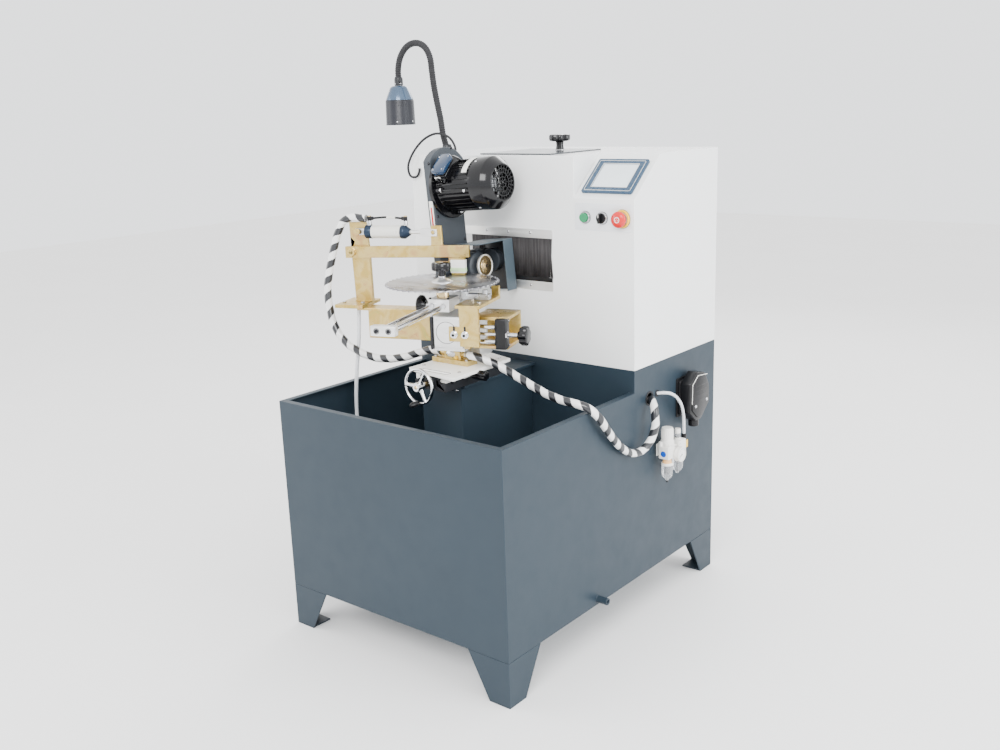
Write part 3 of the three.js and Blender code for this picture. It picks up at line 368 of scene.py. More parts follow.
def arc(cx, cy, r, start, end, steps):
    """Points on an arc, in degrees, both ends included."""
    turns = [math.radians(start + (end - start) * i / steps) for i in range(steps + 1)]
    return [(cx + r * math.cos(t), cy + r * math.sin(t)) for t in turns]


def rounded(x0, y0, x1, y1, r, steps=5):
    """A rectangle's outline with round corners."""
    corners = [(x1 - r, y0 + r, -90), (x1 - r, y1 - r, 0), (x0 + r, y1 - r, 90), (x0 + r, y0 + r, 180)]
    return [p for cx, cy, a in corners for p in arc(cx, cy, r, a, a + 90, steps)]


def circle(cx, cy, r, steps=32):
    return arc(cx, cy, r, 0, 360 * (steps - 1) / steps, steps - 1)


def polar(cx, cy, r, degrees):
    """One point on a circle."""
    turn = math.radians(degrees)
    return cx + r * math.cos(turn), cy + r * math.sin(turn)


def lobed(r, lobes, depth, per_lobe=10):
    """A knob's outline: round lobes with hollows between them."""
    count = lobes * per_lobe
    points = []
    for i in range(count):
        turn = 2 * math.pi * i / count
        wave = abs(math.cos(lobes * turn / 2)) ** 1.2
        radius = r * (1 - depth + depth * wave)
        points.append((radius * math.cos(turn), radius * math.sin(turn)))
    return points


class Piece:
    """One visible piece, gathered from simple solids in millimetres, in the space it is given."""

    def __init__(self, name, body, material, slot, space=MACHINE, replaces=()):
        self.name, self.body, self.slot, self.space = name, body, slot, space
        self.materials = [M[m] for m in ([material] if isinstance(material, str) else material)]
        self.replaces = replaces
        self.bm = bmesh.new()
        self.paint = 0
        self.place = Matrix.Identity(4)

    def _take(self, part, bevel, segments=2, limit=0.6):
        """Bevels a fresh solid's sharp edges and moves it in with the rest."""
        bmesh.ops.recalc_face_normals(part, faces=part.faces)
        if bevel:
            sharp = [e for e in part.edges if len(e.link_faces) == 2 and e.calc_face_angle() > limit]
            if sharp:
                bmesh.ops.bevel(part, geom=sharp, offset=bevel, segments=segments, profile=0.5,
                                affect="EDGES", clamp_overlap=True)
        for face in part.faces:
            face.material_index = self.paint
        part.transform(self.place)
        mesh = bpy.data.meshes.new("part")
        part.to_mesh(mesh)
        part.free()
        self.bm.from_mesh(mesh)
        bpy.data.meshes.remove(mesh)
        return self

    def box(self, x, y, z, bevel=0.6, turn=None, about=(0, 0, 0)):
        part = bmesh.new()
        bmesh.ops.create_cube(part, size=1)
        part.transform(Matrix.Diagonal((x[1] - x[0], y[1] - y[0], z[1] - z[0], 1)))
        part.transform(Matrix.Translation(((x[0] + x[1]) / 2, (y[0] + y[1]) / 2, (z[0] + z[1]) / 2)))
        if turn:
            shift = Matrix.Translation(about)
            part.transform(shift @ Matrix.Rotation(math.radians(turn[0]), 4, turn[1]) @ shift.inverted())
        return self._take(part, bevel)

    def lathe(self, profile, origin, axis, steps=40, bevel=0):
        """Profile points are (radius, height); the profile closes on itself."""
        part = bmesh.new()
        axis = Vector(axis).normalized()
        turn = Vector(UP).rotation_difference(axis).to_matrix().to_4x4()
        rings = []
        for i in range(steps):
            a = 2 * math.pi * i / steps
            rings.append([part.verts.new((r * math.cos(a), r * math.sin(a), h)) for r, h in profile])
        count = len(profile)
        for i in range(steps):
            near, far = rings[i], rings[(i + 1) % steps]
            for j in range(count):
                k = (j + 1) % count
                if profile[j][0] < 1e-6 and profile[k][0] < 1e-6:
                    continue
                part.faces.new((near[j], far[j], far[k], near[k]))
        bmesh.ops.remove_doubles(part, verts=part.verts, dist=1e-4)
        bmesh.ops.dissolve_degenerate(part, edges=part.edges, dist=1e-4)
        part.transform(Matrix.Translation(origin) @ turn)
        return self._take(part, bevel)

    def rod(self, start, end, r, steps=28, bevel=0.5):
        along = Vector(end) - Vector(start)
        b = min(bevel, r * 0.4, along.length * 0.3)
        h = along.length
        profile = [(0, 0), (r - b, 0), (r, b), (r, h - b), (r - b, h), (0, h)]
        return self.lathe(profile, start, along, steps)

    def ring(self, start, end, r_in, r_out, steps=32, bevel=0.5):
        along = Vector(end) - Vector(start)
        b, h = min(bevel, (r_out - r_in) * 0.3), along.length
        profile = [(r_in, 0), (r_out - b, 0), (r_out, b), (r_out, h - b), (r_out - b, h), (r_in, h)]
        return self.lathe(profile, start, along, steps)

    def plate(self, outline, axis, low, high, holes=(), bevel=0.6, limit=0.6):
        """An outline with holes, given thickness along x, y or z."""
        part = bmesh.new()
        right, up, out = LETTER_FRAMES[axis]
        loops = [list(outline)] + [list(h) for h in holes]
        flat = [p for loop in loops for p in loop]
        faces = tessellate_polygon([[Vector((p, q, 0)) for p, q in loop] for loop in loops])
        sides = []
        for level in (low, high):
            sides.append([part.verts.new(right * p + up * q + out * level) for p, q in flat])
        for side in sides:
            for face in faces:
                if len({flat[i] for i in face}) == 3:
                    try:
                        part.faces.new([side[i] for i in face])
                    except ValueError:
                        pass
        first = 0
        for loop in loops:
            for i in range(len(loop)):
                a, b = first + i, first + (i + 1) % len(loop)
                part.faces.new((sides[0][a], sides[0][b], sides[1][b], sides[1][a]))
            first += len(loop)
        bmesh.ops.remove_doubles(part, verts=part.verts, dist=1e-4)
        bmesh.ops.dissolve_limit(part, angle_limit=0.01, verts=part.verts, edges=part.edges)
        return self._take(part, bevel, limit=limit)

    def knob(self, origin, axis, r, height, lobes, depth=0.16, bevel=3.0):
        """A lobed hand knob's head with soft edges, standing on origin along axis."""
        turn = Vector(UP).rotation_difference(Vector(axis)).to_matrix().to_4x4()
        before = self.place
        self.place = before @ Matrix.Translation(origin) @ turn
        self.plate(lobed(r, lobes, depth), "z", 0, height, bevel=bevel, limit=1.0)
        self.place = before
        return self

    def screw(self, point, axis, r, kind="socket", height=None):
        """A screw head standing on a face: socket, hex, pan (cross recess) or button."""
        axis = Vector(axis).normalized()
        point = Vector(point)
        h = height or {"socket": r * 1.05, "hex": r * 0.75, "pan": r * 0.6, "button": r * 0.55}[kind]
        if kind == "socket":
            self.lathe([(0, 0), (r, 0), (r, h - 0.4), (r - 0.4, h), (r * 0.55, h), (r * 0.5, h * 0.45),
                        (0, h * 0.4)], point, axis, 24)
        elif kind == "hex":
            self.lathe([(0, 0), (r, 0), (r, h * 0.8), (r * 0.86, h), (0, h)], point, axis, 6, 0.2)
        else:
            dome = [(r * math.cos(t), h * math.sin(t)) for t in [math.radians(a) for a in range(0, 90, 15)]]
            self.lathe([(0, 0)] + dome + [(0.3 * r, h), (0.22 * r, h * 0.6), (0, h * 0.6)], point, axis, 24)
        return self

    def sweep(self, points, r, sides=16, radius=None):
        """A tube with flat ends along points; radius gives each ring's own size."""
        part = bmesh.new()
        rings = [
            [part.verts.new(p) for p in ring]
            for ring in ring_points([Vector(p) for p in points], sides, r if radius is None else radius)
        ]
        for near, far in zip(rings, rings[1:]):
            for j in range(sides):
                k = (j + 1) % sides
                part.faces.new((near[j], near[k], far[k], far[j]))
        part.faces.new(list(reversed(rings[0])))
        part.faces.new(rings[-1])
        return self._take(part, 0)

    def done(self, smooth=0.62):
        """Makes the object, smooth where faces meet gently, and puts it on its body."""
        for face in self.bm.faces:
            face.smooth = True
        for edge in self.bm.edges:
            edge.smooth = len(edge.link_faces) == 2 and edge.calc_face_angle(0) < smooth
        self.bm.transform(self.space)
        mesh = bpy.data.meshes.new(self.name)
        self.bm.to_mesh(mesh)
        self.bm.free()
        for material in self.materials:
            mesh.materials.append(material)
        made = bpy.data.objects.new(self.name, mesh)
        bpy.context.scene.collection.objects.link(made)
        if self.body:
            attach(made, self.body)
        if self.replaces:
            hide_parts(*self.replaces)
        return made


def ring_points(centres, sides, radius):
    """Rings of points round a path, without twist. radius is a number or one for each centre."""
    count = len(centres)
    ahead = [(centres[min(i + 1, count - 1)] - centres[max(i - 1, 0)]).normalized() for i in range(count)]
    side = ahead[0].cross(Vector(UP))
    if side.length < 0.1:
        side = ahead[0].cross(Vector(BACK))
    rings = []
    for i, (centre, forward) in enumerate(zip(centres, ahead)):
        side = (side - forward * side.dot(forward)).normalized()
        up = side.cross(forward)
        r = radius if isinstance(radius, (int, float)) else radius[i]
        turns = [2 * math.pi * j / sides for j in range(sides)]
        rings.append([centre + (side * math.cos(t) + up * math.sin(t)) * r for t in turns])
    return rings


def smooth_path(points, step):
    """The centripetal Catmull-Rom curve through points, cut into steps of about one length."""
    p = [Vector(q) for q in points]
    p = [p[0] * 2 - p[1]] + p + [p[-1] * 2 - p[-2]]
    dense = []
    for i in range(1, len(p) - 2):
        t = [0.0]
        for j in range(3):
            t.append(t[-1] + (p[i + j] - p[i + j - 1]).length ** 0.5)
        for k in range(24):
            u = t[1] + (t[2] - t[1]) * k / 24
            a = [p[i + j - 1].lerp(p[i + j], (u - t[j]) / (t[j + 1] - t[j])) for j in range(3)]
            b = [a[j].lerp(a[j + 1], (u - t[j]) / (t[j + 2] - t[j])) for j in range(2)]
            dense.append(b[0].lerp(b[1], (u - t[1]) / (t[2] - t[1])))
    dense.append(p[-2])
    total = sum((b - a).length for a, b in zip(dense, dense[1:]))
    count = max(2, round(total / step))
    path, walked, target = [dense[0]], 0.0, total / count
    for a, b in zip(dense, dense[1:]):
        span = (b - a).length
        while walked + span >= target - 1e-9 and len(path) < count:
            path.append(a.lerp(b, (target - walked) / span))
            target += total / count
        walked += span
    path.append(dense[-1])
    return path


def bevelled(node, material, width=0.6, body=None, name=None):
    """A CAD node's own shape with its edges broken, standing in for the bare node."""
    source = frame["nodes"][node]
    bm = bmesh.new()
    bm.from_mesh(source.data)
    bmesh.ops.remove_doubles(bm, verts=bm.verts, dist=1e-6)
    bmesh.ops.dissolve_limit(bm, angle_limit=0.02, verts=bm.verts, edges=bm.edges)
    bmesh.ops.recalc_face_normals(bm, faces=bm.faces)
    for face in bm.faces:
        face.smooth = True
    for edge in bm.edges:
        edge.smooth = len(edge.link_faces) == 2 and edge.calc_face_angle(0) < 0.5
    mesh = bpy.data.meshes.new(name or node + "_skin")
    bm.to_mesh(mesh)
    bm.free()
    mesh.materials.append(M[material])
    made = bpy.data.objects.new(name or node + "_skin", mesh)
    bpy.context.scene.collection.objects.link(made)
    bevel = made.modifiers.new("bevel", "BEVEL")
    bevel.width = width / 1000
    bevel.segments = 2
    bevel.limit_method = "ANGLE"
    bevel.angle_limit = 0.6
    bevel.use_clamp_overlap = False
    bevel.harden_normals = False
    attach(made, source["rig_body"])
    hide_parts(node)
    return made


# ---- cords: the routes of the CAD part ----
HOSE_R = 10.5
HOSE_TO_WALL = [(40.4, -196, 724.3), (56, -196, 724.3), (80, -189, 719), (112, -176, 705),
                (160, -168, 684), (212, -166, 664), (262, -166, 648), (306, -164, 640),
                (342, -160, 636), (366, -149, 625.5), (377.5, -128, 601), (379.5, -90, 555),
                (377, -50, 516),
                (376, -12, 488), (376, 20, 472), (378, 48, 467.5), (382, 70, 473), (387.5, 86, 488),
                (392, 95.5, 508), (394.6, 98.4, 526), (394.6, 98.6, 541), (390.2, 102.7, 562.5),
                (378.1, 114.1, 578.8), (365.3, 126.4, 584.7)]
HOSE_TO_CLAMP = [(-293.4, -193.9, 1046.6), (-311, -200, 1047), (-336, -208, 1048), (-357, -215, 1036),
                 (-372, -223, 1006), (-382, -231, 966), (-392, -240, 917), (-396, -250, 863),
                 (-387, -255, 808), (-368, -257, 761), (-335, -253, 724), (-295, -246, 703),
                 (-252, -238, 692), (-204, -229, 692), (-155, -216, 701), (-112, -203, 716),
                 (-82, -197, 724.3), (-63, -196, 724.3), (-48.5, -196, 724.3)]
DRAIN = [(-280, 90, 813), (-281, 89, 786), (-283, 87, 744), (-287, 84, 700), (-292, 79, 650),
         (-296, 74, 590), (-297, 70, 520), (-296, 68, 440), (-294, 68, 380)]
AIR_TUBE = [(361, 164, 590), (373, 169, 592), (385, 184, 589), (391, 206, 576), (392, 230, 552),
            (390, 247, 524), (388, 255, 496), (388, 256, 478), (388, 256, 462.4)]
LAMP_LEAD = [(-222, 86, 1193.4), (-222, 85, 1212), (-238, 79, 1238), (-270, 66, 1248),
             (-304, 53, 1234), (-333, 45, 1206), (-350, 41, 1180), (-357, 40, 1161),
             (-357, 41.5, 1146), (-353, 43.5, 1135.2), (-342.5, 46, 1131.5), (-332, 49, 1135.2),
             (-328, 52, 1146), (-327.5, 53.8, 1156)]


def hose_mesh(name, route):
    """A wrapped hose as a mesh tube whose ribbon stands a little proud, bent between two bodies."""
    path = smooth_path(route, 2.4)
    sides, pitch = 24, HOSE_PITCH
    bm = bmesh.new()
    uv_layer = bm.loops.layers.uv.new("wrap")
    rings = ring_points(path, sides, 1.0)
    verts, walked = [], 0.0
    for i, (centre, ring) in enumerate(zip(path, rings)):
        walked += (centre - path[i - 1]).length if i else 0.0
        row = []
        for j, p in enumerate(ring):
            phase = (walked / pitch + j / sides) % 1
            proud = 0.35 * math.tanh(8 * (abs(phase - 0.42) - 0.27))
            row.append(bm.verts.new(centre + (p - centre) * (HOSE_R - 0.4 + proud)))
        verts.append((walked / 1000, row))
    for (s0, near), (s1, far) in zip(verts, verts[1:]):
        for j in range(sides):
            k = (j + 1) % sides
            face = bm.faces.new((near[j], near[k], far[k], far[j]))
            face.smooth = True
            corners = [(j, s0), (j + 1, s0), (j + 1, s1), (j, s1)]
            for loop, (turn, s) in zip(face.loops, corners):
                loop[uv_layer].uv = (turn / sides, s)
    bm.faces.new(list(reversed(verts[0][1])))
    bm.faces.new(verts[-1][1])
    bmesh.ops.recalc_face_normals(bm, faces=bm.faces)
    bm.transform(MACHINE)
    mesh = bpy.data.meshes.new(name)
    bm.to_mesh(mesh)
    bm.free()
    mesh.materials.append(M["hose"])
    hose = bpy.data.objects.new(name, mesh)
    bpy.context.scene.collection.objects.link(hose)
    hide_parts(name.replace("_wrapped", ""))
    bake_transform(hose)
    return hose


def curve_cord(name, node, route, r, body, material, space=MACHINE, step=6.0):
    """A round cord as a curve with a round section."""
    path = smooth_path(route, step)
    curve = bpy.data.curves.new(name, "CURVE")
    curve.dimensions = "3D"
    curve.bevel_depth = r / 1000
    curve.bevel_resolution = 6
    curve.use_fill_caps = True
    spline = curve.splines.new("POLY")
    spline.points.add(len(path) - 1)
    for point, place in zip(spline.points, path):
        point.co = (*at(*place, space), 1)
    curve.materials.append(M[material])
    cord = bpy.data.objects.new(name, curve)
    bpy.context.scene.collection.objects.link(cord)
    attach(cord, body)
    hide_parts(node)
    return cord


def make_cords():
    hose_mesh("hose_to_wall_wrapped", HOSE_TO_WALL)
    hose_mesh("hose_to_clamp_wrapped", HOSE_TO_CLAMP)
    curve_cord("drain_tube_clear", "drain_tube", DRAIN, 5, "carriage", "tube",
               CARRIAGE)
    curve_cord("air_tube_clear", "air_tube", list(reversed(AIR_TUBE)), 4, "frame", "tube")
    curve_cord("lamp_lead_black", "lamp_lead", LAMP_LEAD, 3.2, "frame", "rubber")


make_cords()


# ---- the room ----
def make_stage():
    floor = bpy.data.meshes.new("floor")
    reach = 9.0
    floor.from_pydata([(-reach, -reach, 0), (reach, -reach, 0), (reach, reach, 0), (-reach, reach, 0)], [],
                      [(0, 1, 2, 3)])
    floor.materials.append(M["floor"])
    ground = bpy.data.objects.new("floor", floor)
    bpy.context.scene.collection.objects.link(ground)


def area_light(name, place, target, size, power, colour=(1, 1, 1)):
    data = bpy.data.lights.new(name, "AREA")
    data.shape = "RECTANGLE"
    data.size, data.size_y = size
    data.energy = power
    data.color = colour
    lamp = bpy.data.objects.new(name, data)
    lamp.location = place
    lamp.rotation_euler = (Vector(target) - Vector(place)).to_track_quat("-Z", "Y").to_euler()
    bpy.context.scene.collection.objects.link(lamp)


def make_light():
    world = bpy.data.worlds.new("studio")
    world.use_nodes = True
    tree = world.node_tree
    background = tree.nodes["Background"]
    coords = tree.nodes.new("ShaderNodeTexCoord")
    split = tree.nodes.new("ShaderNodeSeparateXYZ")
    ramp = tree.nodes.new("ShaderNodeValToRGB")
    tree.links.new(coords.outputs["Generated"], split.inputs["Vector"])
    tree.links.new(split.outputs["Z"], ramp.inputs["Fac"])
    ramp.color_ramp.elements[0].position = 0.0
    ramp.color_ramp.elements[0].color = (0.92, 0.94, 0.96, 1)
    ramp.color_ramp.elements[1].position = 0.5
    ramp.color_ramp.elements[1].color = (1, 1, 1, 1)
    tree.links.new(ramp.outputs["Color"], background.inputs["Color"])
    background.inputs["Strength"].default_value = 2.3
    bpy.context.scene.world = world
    area_light("key", (1.6, -3.2, 3.0), (0, 0, 0.8), (2.2, 1.6), 170)
    area_light("side", (3.6, 0.4, 1.8), (0, 0.1, 0.7), (2.0, 2.0), 130, (0.95, 0.98, 1))
    area_light("fill", (-3.2, -2.2, 1.6), (0, -0.1, 0.8), (1.6, 2.2), 40)
    area_light("back", (-1.0, 3.4, 2.6), (0, 0, 1.0), (2.4, 1.2), 60)


make_stage()
make_light()

# ---- the visible pieces ----
NECK = [(-255, 90, 1199), (-262, 90, 1225), (-268, 90, 1245), (-274, 90, 1284), (-284, 90, 1328),
        (-293, 90, 1373), (-298, 90, 1412), (-303, 90, 1448), (-320, 90, 1475), (-349, 90, 1487),
        (-383, 90, 1481), (-410, 90, 1457), (-423, 90, 1424), (-424, 90, 1396)]  # the lamp's bent neck


# ---- sheet metal and castings: the CAD shapes with their edges broken ----
SKINS = [
    ("coolant_tank", "tank", 1.2), ("leg_front_left", "tank", 0.8), ("leg_front_right", "tank", 0.8),
    ("leg_rear_left", "tank", 0.8), ("leg_rear_right", "tank", 0.8), ("pedestal", "tank", 0.9),
    ("cabinet_shell", "white", 1.0), ("rear_door", "white", 1.0), ("hatch_plate", "sheet", 0.5),
    ("wheel_hood", "hood", 0.5), ("belt_guard", "dark", 1.2), ("head_rails", "steel", 0.5),
    ("head_slide", "steel", 0.7), ("slide_base", "black", 1.0), ("table_plate", "cream", 0.8),
    ("valve_block", "zinc", 0.6), ("clamp_frame", "zinc", 0.8), ("clamp_lever", "zinc", 0.8),
    ("feed_bracket", "zinc", 0.6), ("feed_pawl", "steel", 0.5), ("carriage_block", "alloy", 0.8),
    ("arbor_block", "alloy", 0.8), ("cylinder_rod", "alloy", 0.5), ("motor_rotor", "steel", 0.5),
    ("grinding_spindle", "steel", 0.4), ("drive_belt", "rubber", 0.4),
    ("brush_strip_top", "alloy", 0.3), ("brush_strip_bottom", "alloy", 0.3),
]


def make_skins():
    for node, material, width in SKINS:
        bevelled(node, material, width=width)


# ---- the grinding head ----
FINS = 30
FIN_SPREAD = 360 / FINS


def along_motor(piece, degrees, about=(0, AXIS_Y, MOTOR_UP)):
    """Turns what comes next about the motor's axis."""
    piece.place = (Matrix.Translation(about) @ Matrix.Rotation(math.radians(degrees), 4, "X")
                   @ Matrix.Translation(about).inverted())


def make_motor():
    axis, start = RIGHT, (-57.7, AXIS_Y, MOTOR_UP)
    motor = Piece("motor_casing", "head", ("gloss", "bolt", "pale", "lid"), "motor_paint", HEAD,
                  ("motor_body",))
    motor.lathe([(0, 0), (79, 0), (80, 1), (80, 8.5), (78.5, 10), (62, 10), (58, 14), (56, 18), (56, 110),
                 (58, 111), (58, 115.5), (0, 115.5)], start, axis, 64)
    for i in range(FINS):
        turn = i * FIN_SPREAD
        under_box = 10 < turn < 80
        along_motor(motor, turn)
        motor.box((-44, 54), (AXIS_Y - 1.2, AXIS_Y + 1.2),
                  (MOTOR_UP + 52, MOTOR_UP + (58 if under_box else 65)), 0.7)
    for turn in (5, 95, 185, 275):
        along_motor(motor, turn)
        motor.rod((-52, AXIS_Y, MOTOR_UP + 64), (-34, AXIS_Y, MOTOR_UP + 64), 8.5, 20, 1.5)
        motor.paint = 1
        motor.screw((-34, AXIS_Y, MOTOR_UP + 64), RIGHT, 6.4, "hex", 5)
        motor.paint = 0
    along_motor(motor, 100)
    motor.paint = 1
    motor.screw((45, AXIS_Y, MOTOR_UP + 64), UP, 4.2, "hex")
    motor.paint = 0
    along_motor(motor, 45)
    foot = [(-46, -31), (-4, -31), (-4, 31), (-46, 31)]
    motor.plate([(p, q + AXIS_Y) for p, q in foot], "z", MOTOR_UP + 50, MOTOR_UP + 72, bevel=2)
    neck = [(-44, -24), (-38, -29), (-12, -29), (-6, -24), (-6, 24), (-12, 29), (-38, 29), (-44, 24)]
    motor.plate([(p, q + AXIS_Y) for p, q in neck], "z", MOTOR_UP + 71, MOTOR_UP + 76, bevel=1)
    motor.paint = 3
    lid = [(-45.6, -24), (-39, -30), (-11, -30), (-4.2, -24), (-4.2, 24), (-11, 30), (-39, 30), (-45.6, 24)]
    motor.plate([(p, q + AXIS_Y) for p, q in lid], "z", MOTOR_UP + 75, MOTOR_UP + 87.6, bevel=1.8)
    motor.paint = 1
    for p in (-40, -10):
        for q in (-21, 21):
            motor.screw((p, q + AXIS_Y, MOTOR_UP + 87.4), UP, 2.0, "pan")
    motor.paint = 0
    motor.rod((-32, AXIS_Y - 30, MOTOR_UP + 62), (-32, AXIS_Y - 40, MOTOR_UP + 62), 7, 6, 1)
    motor.rod((-15, AXIS_Y - 30, MOTOR_UP + 62), (-15, AXIS_Y - 38, MOTOR_UP + 62), 7, 6, 1)
    motor.paint = 2
    motor.box((-42, -24), (AXIS_Y - 32.2, AXIS_Y - 31.1), (MOTOR_UP + 54, MOTOR_UP + 70), 0.2)
    motor.done()

    band = Piece("motor_label_band", "head", "pale", "motor_paint", HEAD)
    outline = arc(0, 0, 66.8, 68, 150, 24) + list(reversed(arc(0, 0, 65.8, 68, 150, 24)))
    band.plate([(p + AXIS_Y, q + MOTOR_UP) for p, q in outline], "x", 36, 52, bevel=0.1)
    band.done()


def make_fan_cover():
    cover = Piece("fan_cowl", "head", ("gloss", "bolt"), "motor_paint", HEAD, ("fan_cover",))
    start, axis = (58.8, AXIS_Y, MOTOR_UP), RIGHT
    cover.lathe([(64, 0), (66, 0.6), (66, 40), (65.4, 41.6), (47, 60.4), (46, 61), (44.2, 61), (44.2, 59.4),
                 (46, 58.6), (63, 40.6), (64, 39)], start, axis, 72)
    for turn in (30, 150, 270):
        along_motor(cover, turn)
        cover.paint = 1
        cover.screw((66, AXIS_Y, MOTOR_UP + 65.7), UP, 3.2, "pan")
        cover.paint = 0
    cover.place = Matrix.Identity(4)
    face = start[0] + 58.4
    for r in (13, 23.5, 34, 44):
        cover.ring((face, AXIS_Y, MOTOR_UP), (face + 2.2, AXIS_Y, MOTOR_UP), r - 1.0, r + 1.0, 56, 0.3)
    for i in range(24):
        along_motor(cover, 15 * i)
        low = 12 if i % 3 == 0 else 23.5
        cover.box((face, face + 2.2), (AXIS_Y - 0.9, AXIS_Y + 0.9), (MOTOR_UP + low, MOTOR_UP + 45), 0.3)
    for i in range(6):
        along_motor(cover, 60 * i)
        cover.box((face, face + 2.2), (AXIS_Y - 0.9, AXIS_Y + 0.9), (MOTOR_UP, MOTOR_UP + 13), 0.3)
    cover.place = Matrix.Identity(4)
    cover.done()


def make_guard_details():
    trim = Piece("guard_trim", "head", ("dark", "socket", "pale", "red"), "dark_paint", HEAD)
    for y, z in ((-112, 262), (-20, 296), (-98, 128), (-4, 60), (-98, 8), (-4, -36)):
        trim.paint = 1
        trim.screw((-58, y, z), RIGHT, 4.2, "button")
    trim.paint = 2
    trim.box((-76, -63), (-107.6, -107.05), (92, 168), 0.1)
    trim.paint = 3
    trim.box((-72, -67), (-107.9, -107.5), (100, 152), 0.1)
    trim.place = Matrix.Identity(4)
    trim.done()


def make_spindle_parts():
    axis = RIGHT
    drum = Piece("spindle_drum", "head", ("dark", "socket"), "dark_paint", HEAD, ("spindle_housing",))
    drum.lathe([(0, 0), (27, 0), (28, 1), (28, 24), (34, 30.6), (36, 33), (36, 65), (34, 69), (23.6, 74),
                (22, 74.7), (0, 74.7)], (-57.7, AXIS_Y, -WHEEL_DOWN), axis, 56)
    drum.paint = 1
    for i in range(6):
        inner, outer = (polar(AXIS_Y, -WHEEL_DOWN, r, 60 * i + 20) for r in (35.6, 36.4))
        drum.rod((-0.5, *inner), (-0.5, *outer), 3, 20, 0.2)
    drum.done()

    wheel = Piece("cup_wheel", "spindle", ("grit", "brass", "alloy", "socket"), "brass", HEAD,
                  ("grinding_wheel",))
    hub = (23.3, AXIS_Y, -WHEEL_DOWN)
    wheel.paint = 1
    wheel.lathe([(0, 0), (15.4, 0), (26, 5.6), (26, 11), (24.6, 12.2), (17, 12.4), (16.4, 13.6),
                 (11, 14.2), (10.4, 16.6),
                 (6, 17.4), (4.6, 17.4), (4.6, 15), (0, 15)], hub, axis, 64)
    wheel.paint = 2
    wheel.lathe([(25.4, 8), (25.6, 12.2), (26.6, 13.2), (28.2, 12.8), (29, 11.6), (29, 8.6), (27, 5.8),
                 (25.4, 5)],
                hub, axis, 64)
    wheel.paint = 0
    wheel.ring((31.4, AXIS_Y, -WHEEL_DOWN), (36, AXIS_Y, -WHEEL_DOWN), 28.6, 29.5, 64, 0.2)
    wheel.paint = 3
    wheel.lathe([(0, 0), (4.5, 0), (4.5, 0.5), (0, 0.5)], (38.4, AXIS_Y, -WHEEL_DOWN), axis, 24)
    wheel.done()

    # Painted shade: a black copy of the hood's back wall, set just in front of it, darkens the wall where
    # it lies in shadow behind the wheel. Its button screws are real.
    inside = Piece("hood_shade_plate", "head", ("black", "bolt"), "tank_paint", HEAD)
    inside.box((31, 56.6), (40.6, 44.1), (-79, 48), 0.4)
    inside.box((-28, 56.6), (42.4, 44.1), (-79, 48), 0.4)
    inside.paint = 1
    for a, b in ((46, 30), (46, -4), (46, -48)):
        inside.screw((a, 40.6, b), FRONT, 3.8, "button")
    inside.done()


# ---- the blade and what holds it ----
TEETH = 48


def make_blade():
    x, y, z = BLADE
    blade = Piece("ground_blade", "blade", ("blade", "carbide", "steel", "alloy"), "steel", MACHINE,
                  ("saw_blade",))
    outline, root = [], 133.5
    pitch = 360 / TEETH
    for i in range(TEETH):
        start = i * pitch
        for r, share in ((139.6, 0.0), (139.0, 0.16), (135.0, 0.42), (133.0, 0.62), (root - 1, 0.78),
                         (134.5, 0.90)):
            outline.append(polar(0, 0, r, start + share * pitch))
    holes = [circle(52 * math.cos(t), 52 * math.sin(t), 6, 20) for t in (0.4, 2.494, 4.589)]
    blade.place = Matrix.Translation((x, y, 0))
    blade.plate(outline, "z", z - 3.0, z - 0.2, holes, bevel=0.15)
    blade.paint = 1
    for i in range(TEETH):
        blade.place = Matrix.Translation((x, y, 0)) @ Matrix.Rotation(math.radians(i * pitch), 4, "Z")
        blade.box((134.2, 140), (-1.6, 0.4), (z - 3.25, z + 0.0), 0.25)
    blade.place = Matrix.Translation((x, y, 0))
    blade.paint = 2
    blade.lathe([(0, -10.5), (26, -10.5), (27, -9.7), (27, -3.1), (0, -3.1)], (0, 0, z), UP, 56)
    blade.paint = 3
    blade.lathe([(0, 0), (26, 0), (26, 1.6), (25, 2.4), (12, 8), (10, 9), (0, 9)], (0, 0, z - 0.15), UP, 56)
    blade.paint = 2
    for i in range(3):
        blade.lathe([(0, 0), (1.8, 0), (1.8, 0.6), (0, 0.6)], (*polar(0, 0, 21.6, 120 * i + 40), z + 4.2),
                    UP, 12)
    blade.place = Matrix.Identity(4)
    blade.done()

    nut = Piece("blade_star", "blade_nut", ("gloss", "bolt"), "black_plastic", MACHINE, ("blade_knob",))
    nut.paint = 1
    nut.lathe([(0, 0), (8.4, 0), (9, 0.6), (9, 5), (8, 6), (0, 6)], (x, y, 914.9), UP, 32)
    nut.paint = 0
    nut.lathe([(0, 6), (8.5, 6), (9, 7), (8.4, 15), (10, 19), (0, 19)], (x, y, 914.8), UP, 32)
    nut.knob((x, y, 932.8), UP, 25, 21, 5, 0.2, 4.5)
    nut.paint = 1
    nut.lathe([(0, 0), (5, 0), (4.6, 0.6), (0, 0.8)], (x, y, 953.7), UP, 24)
    nut.done()


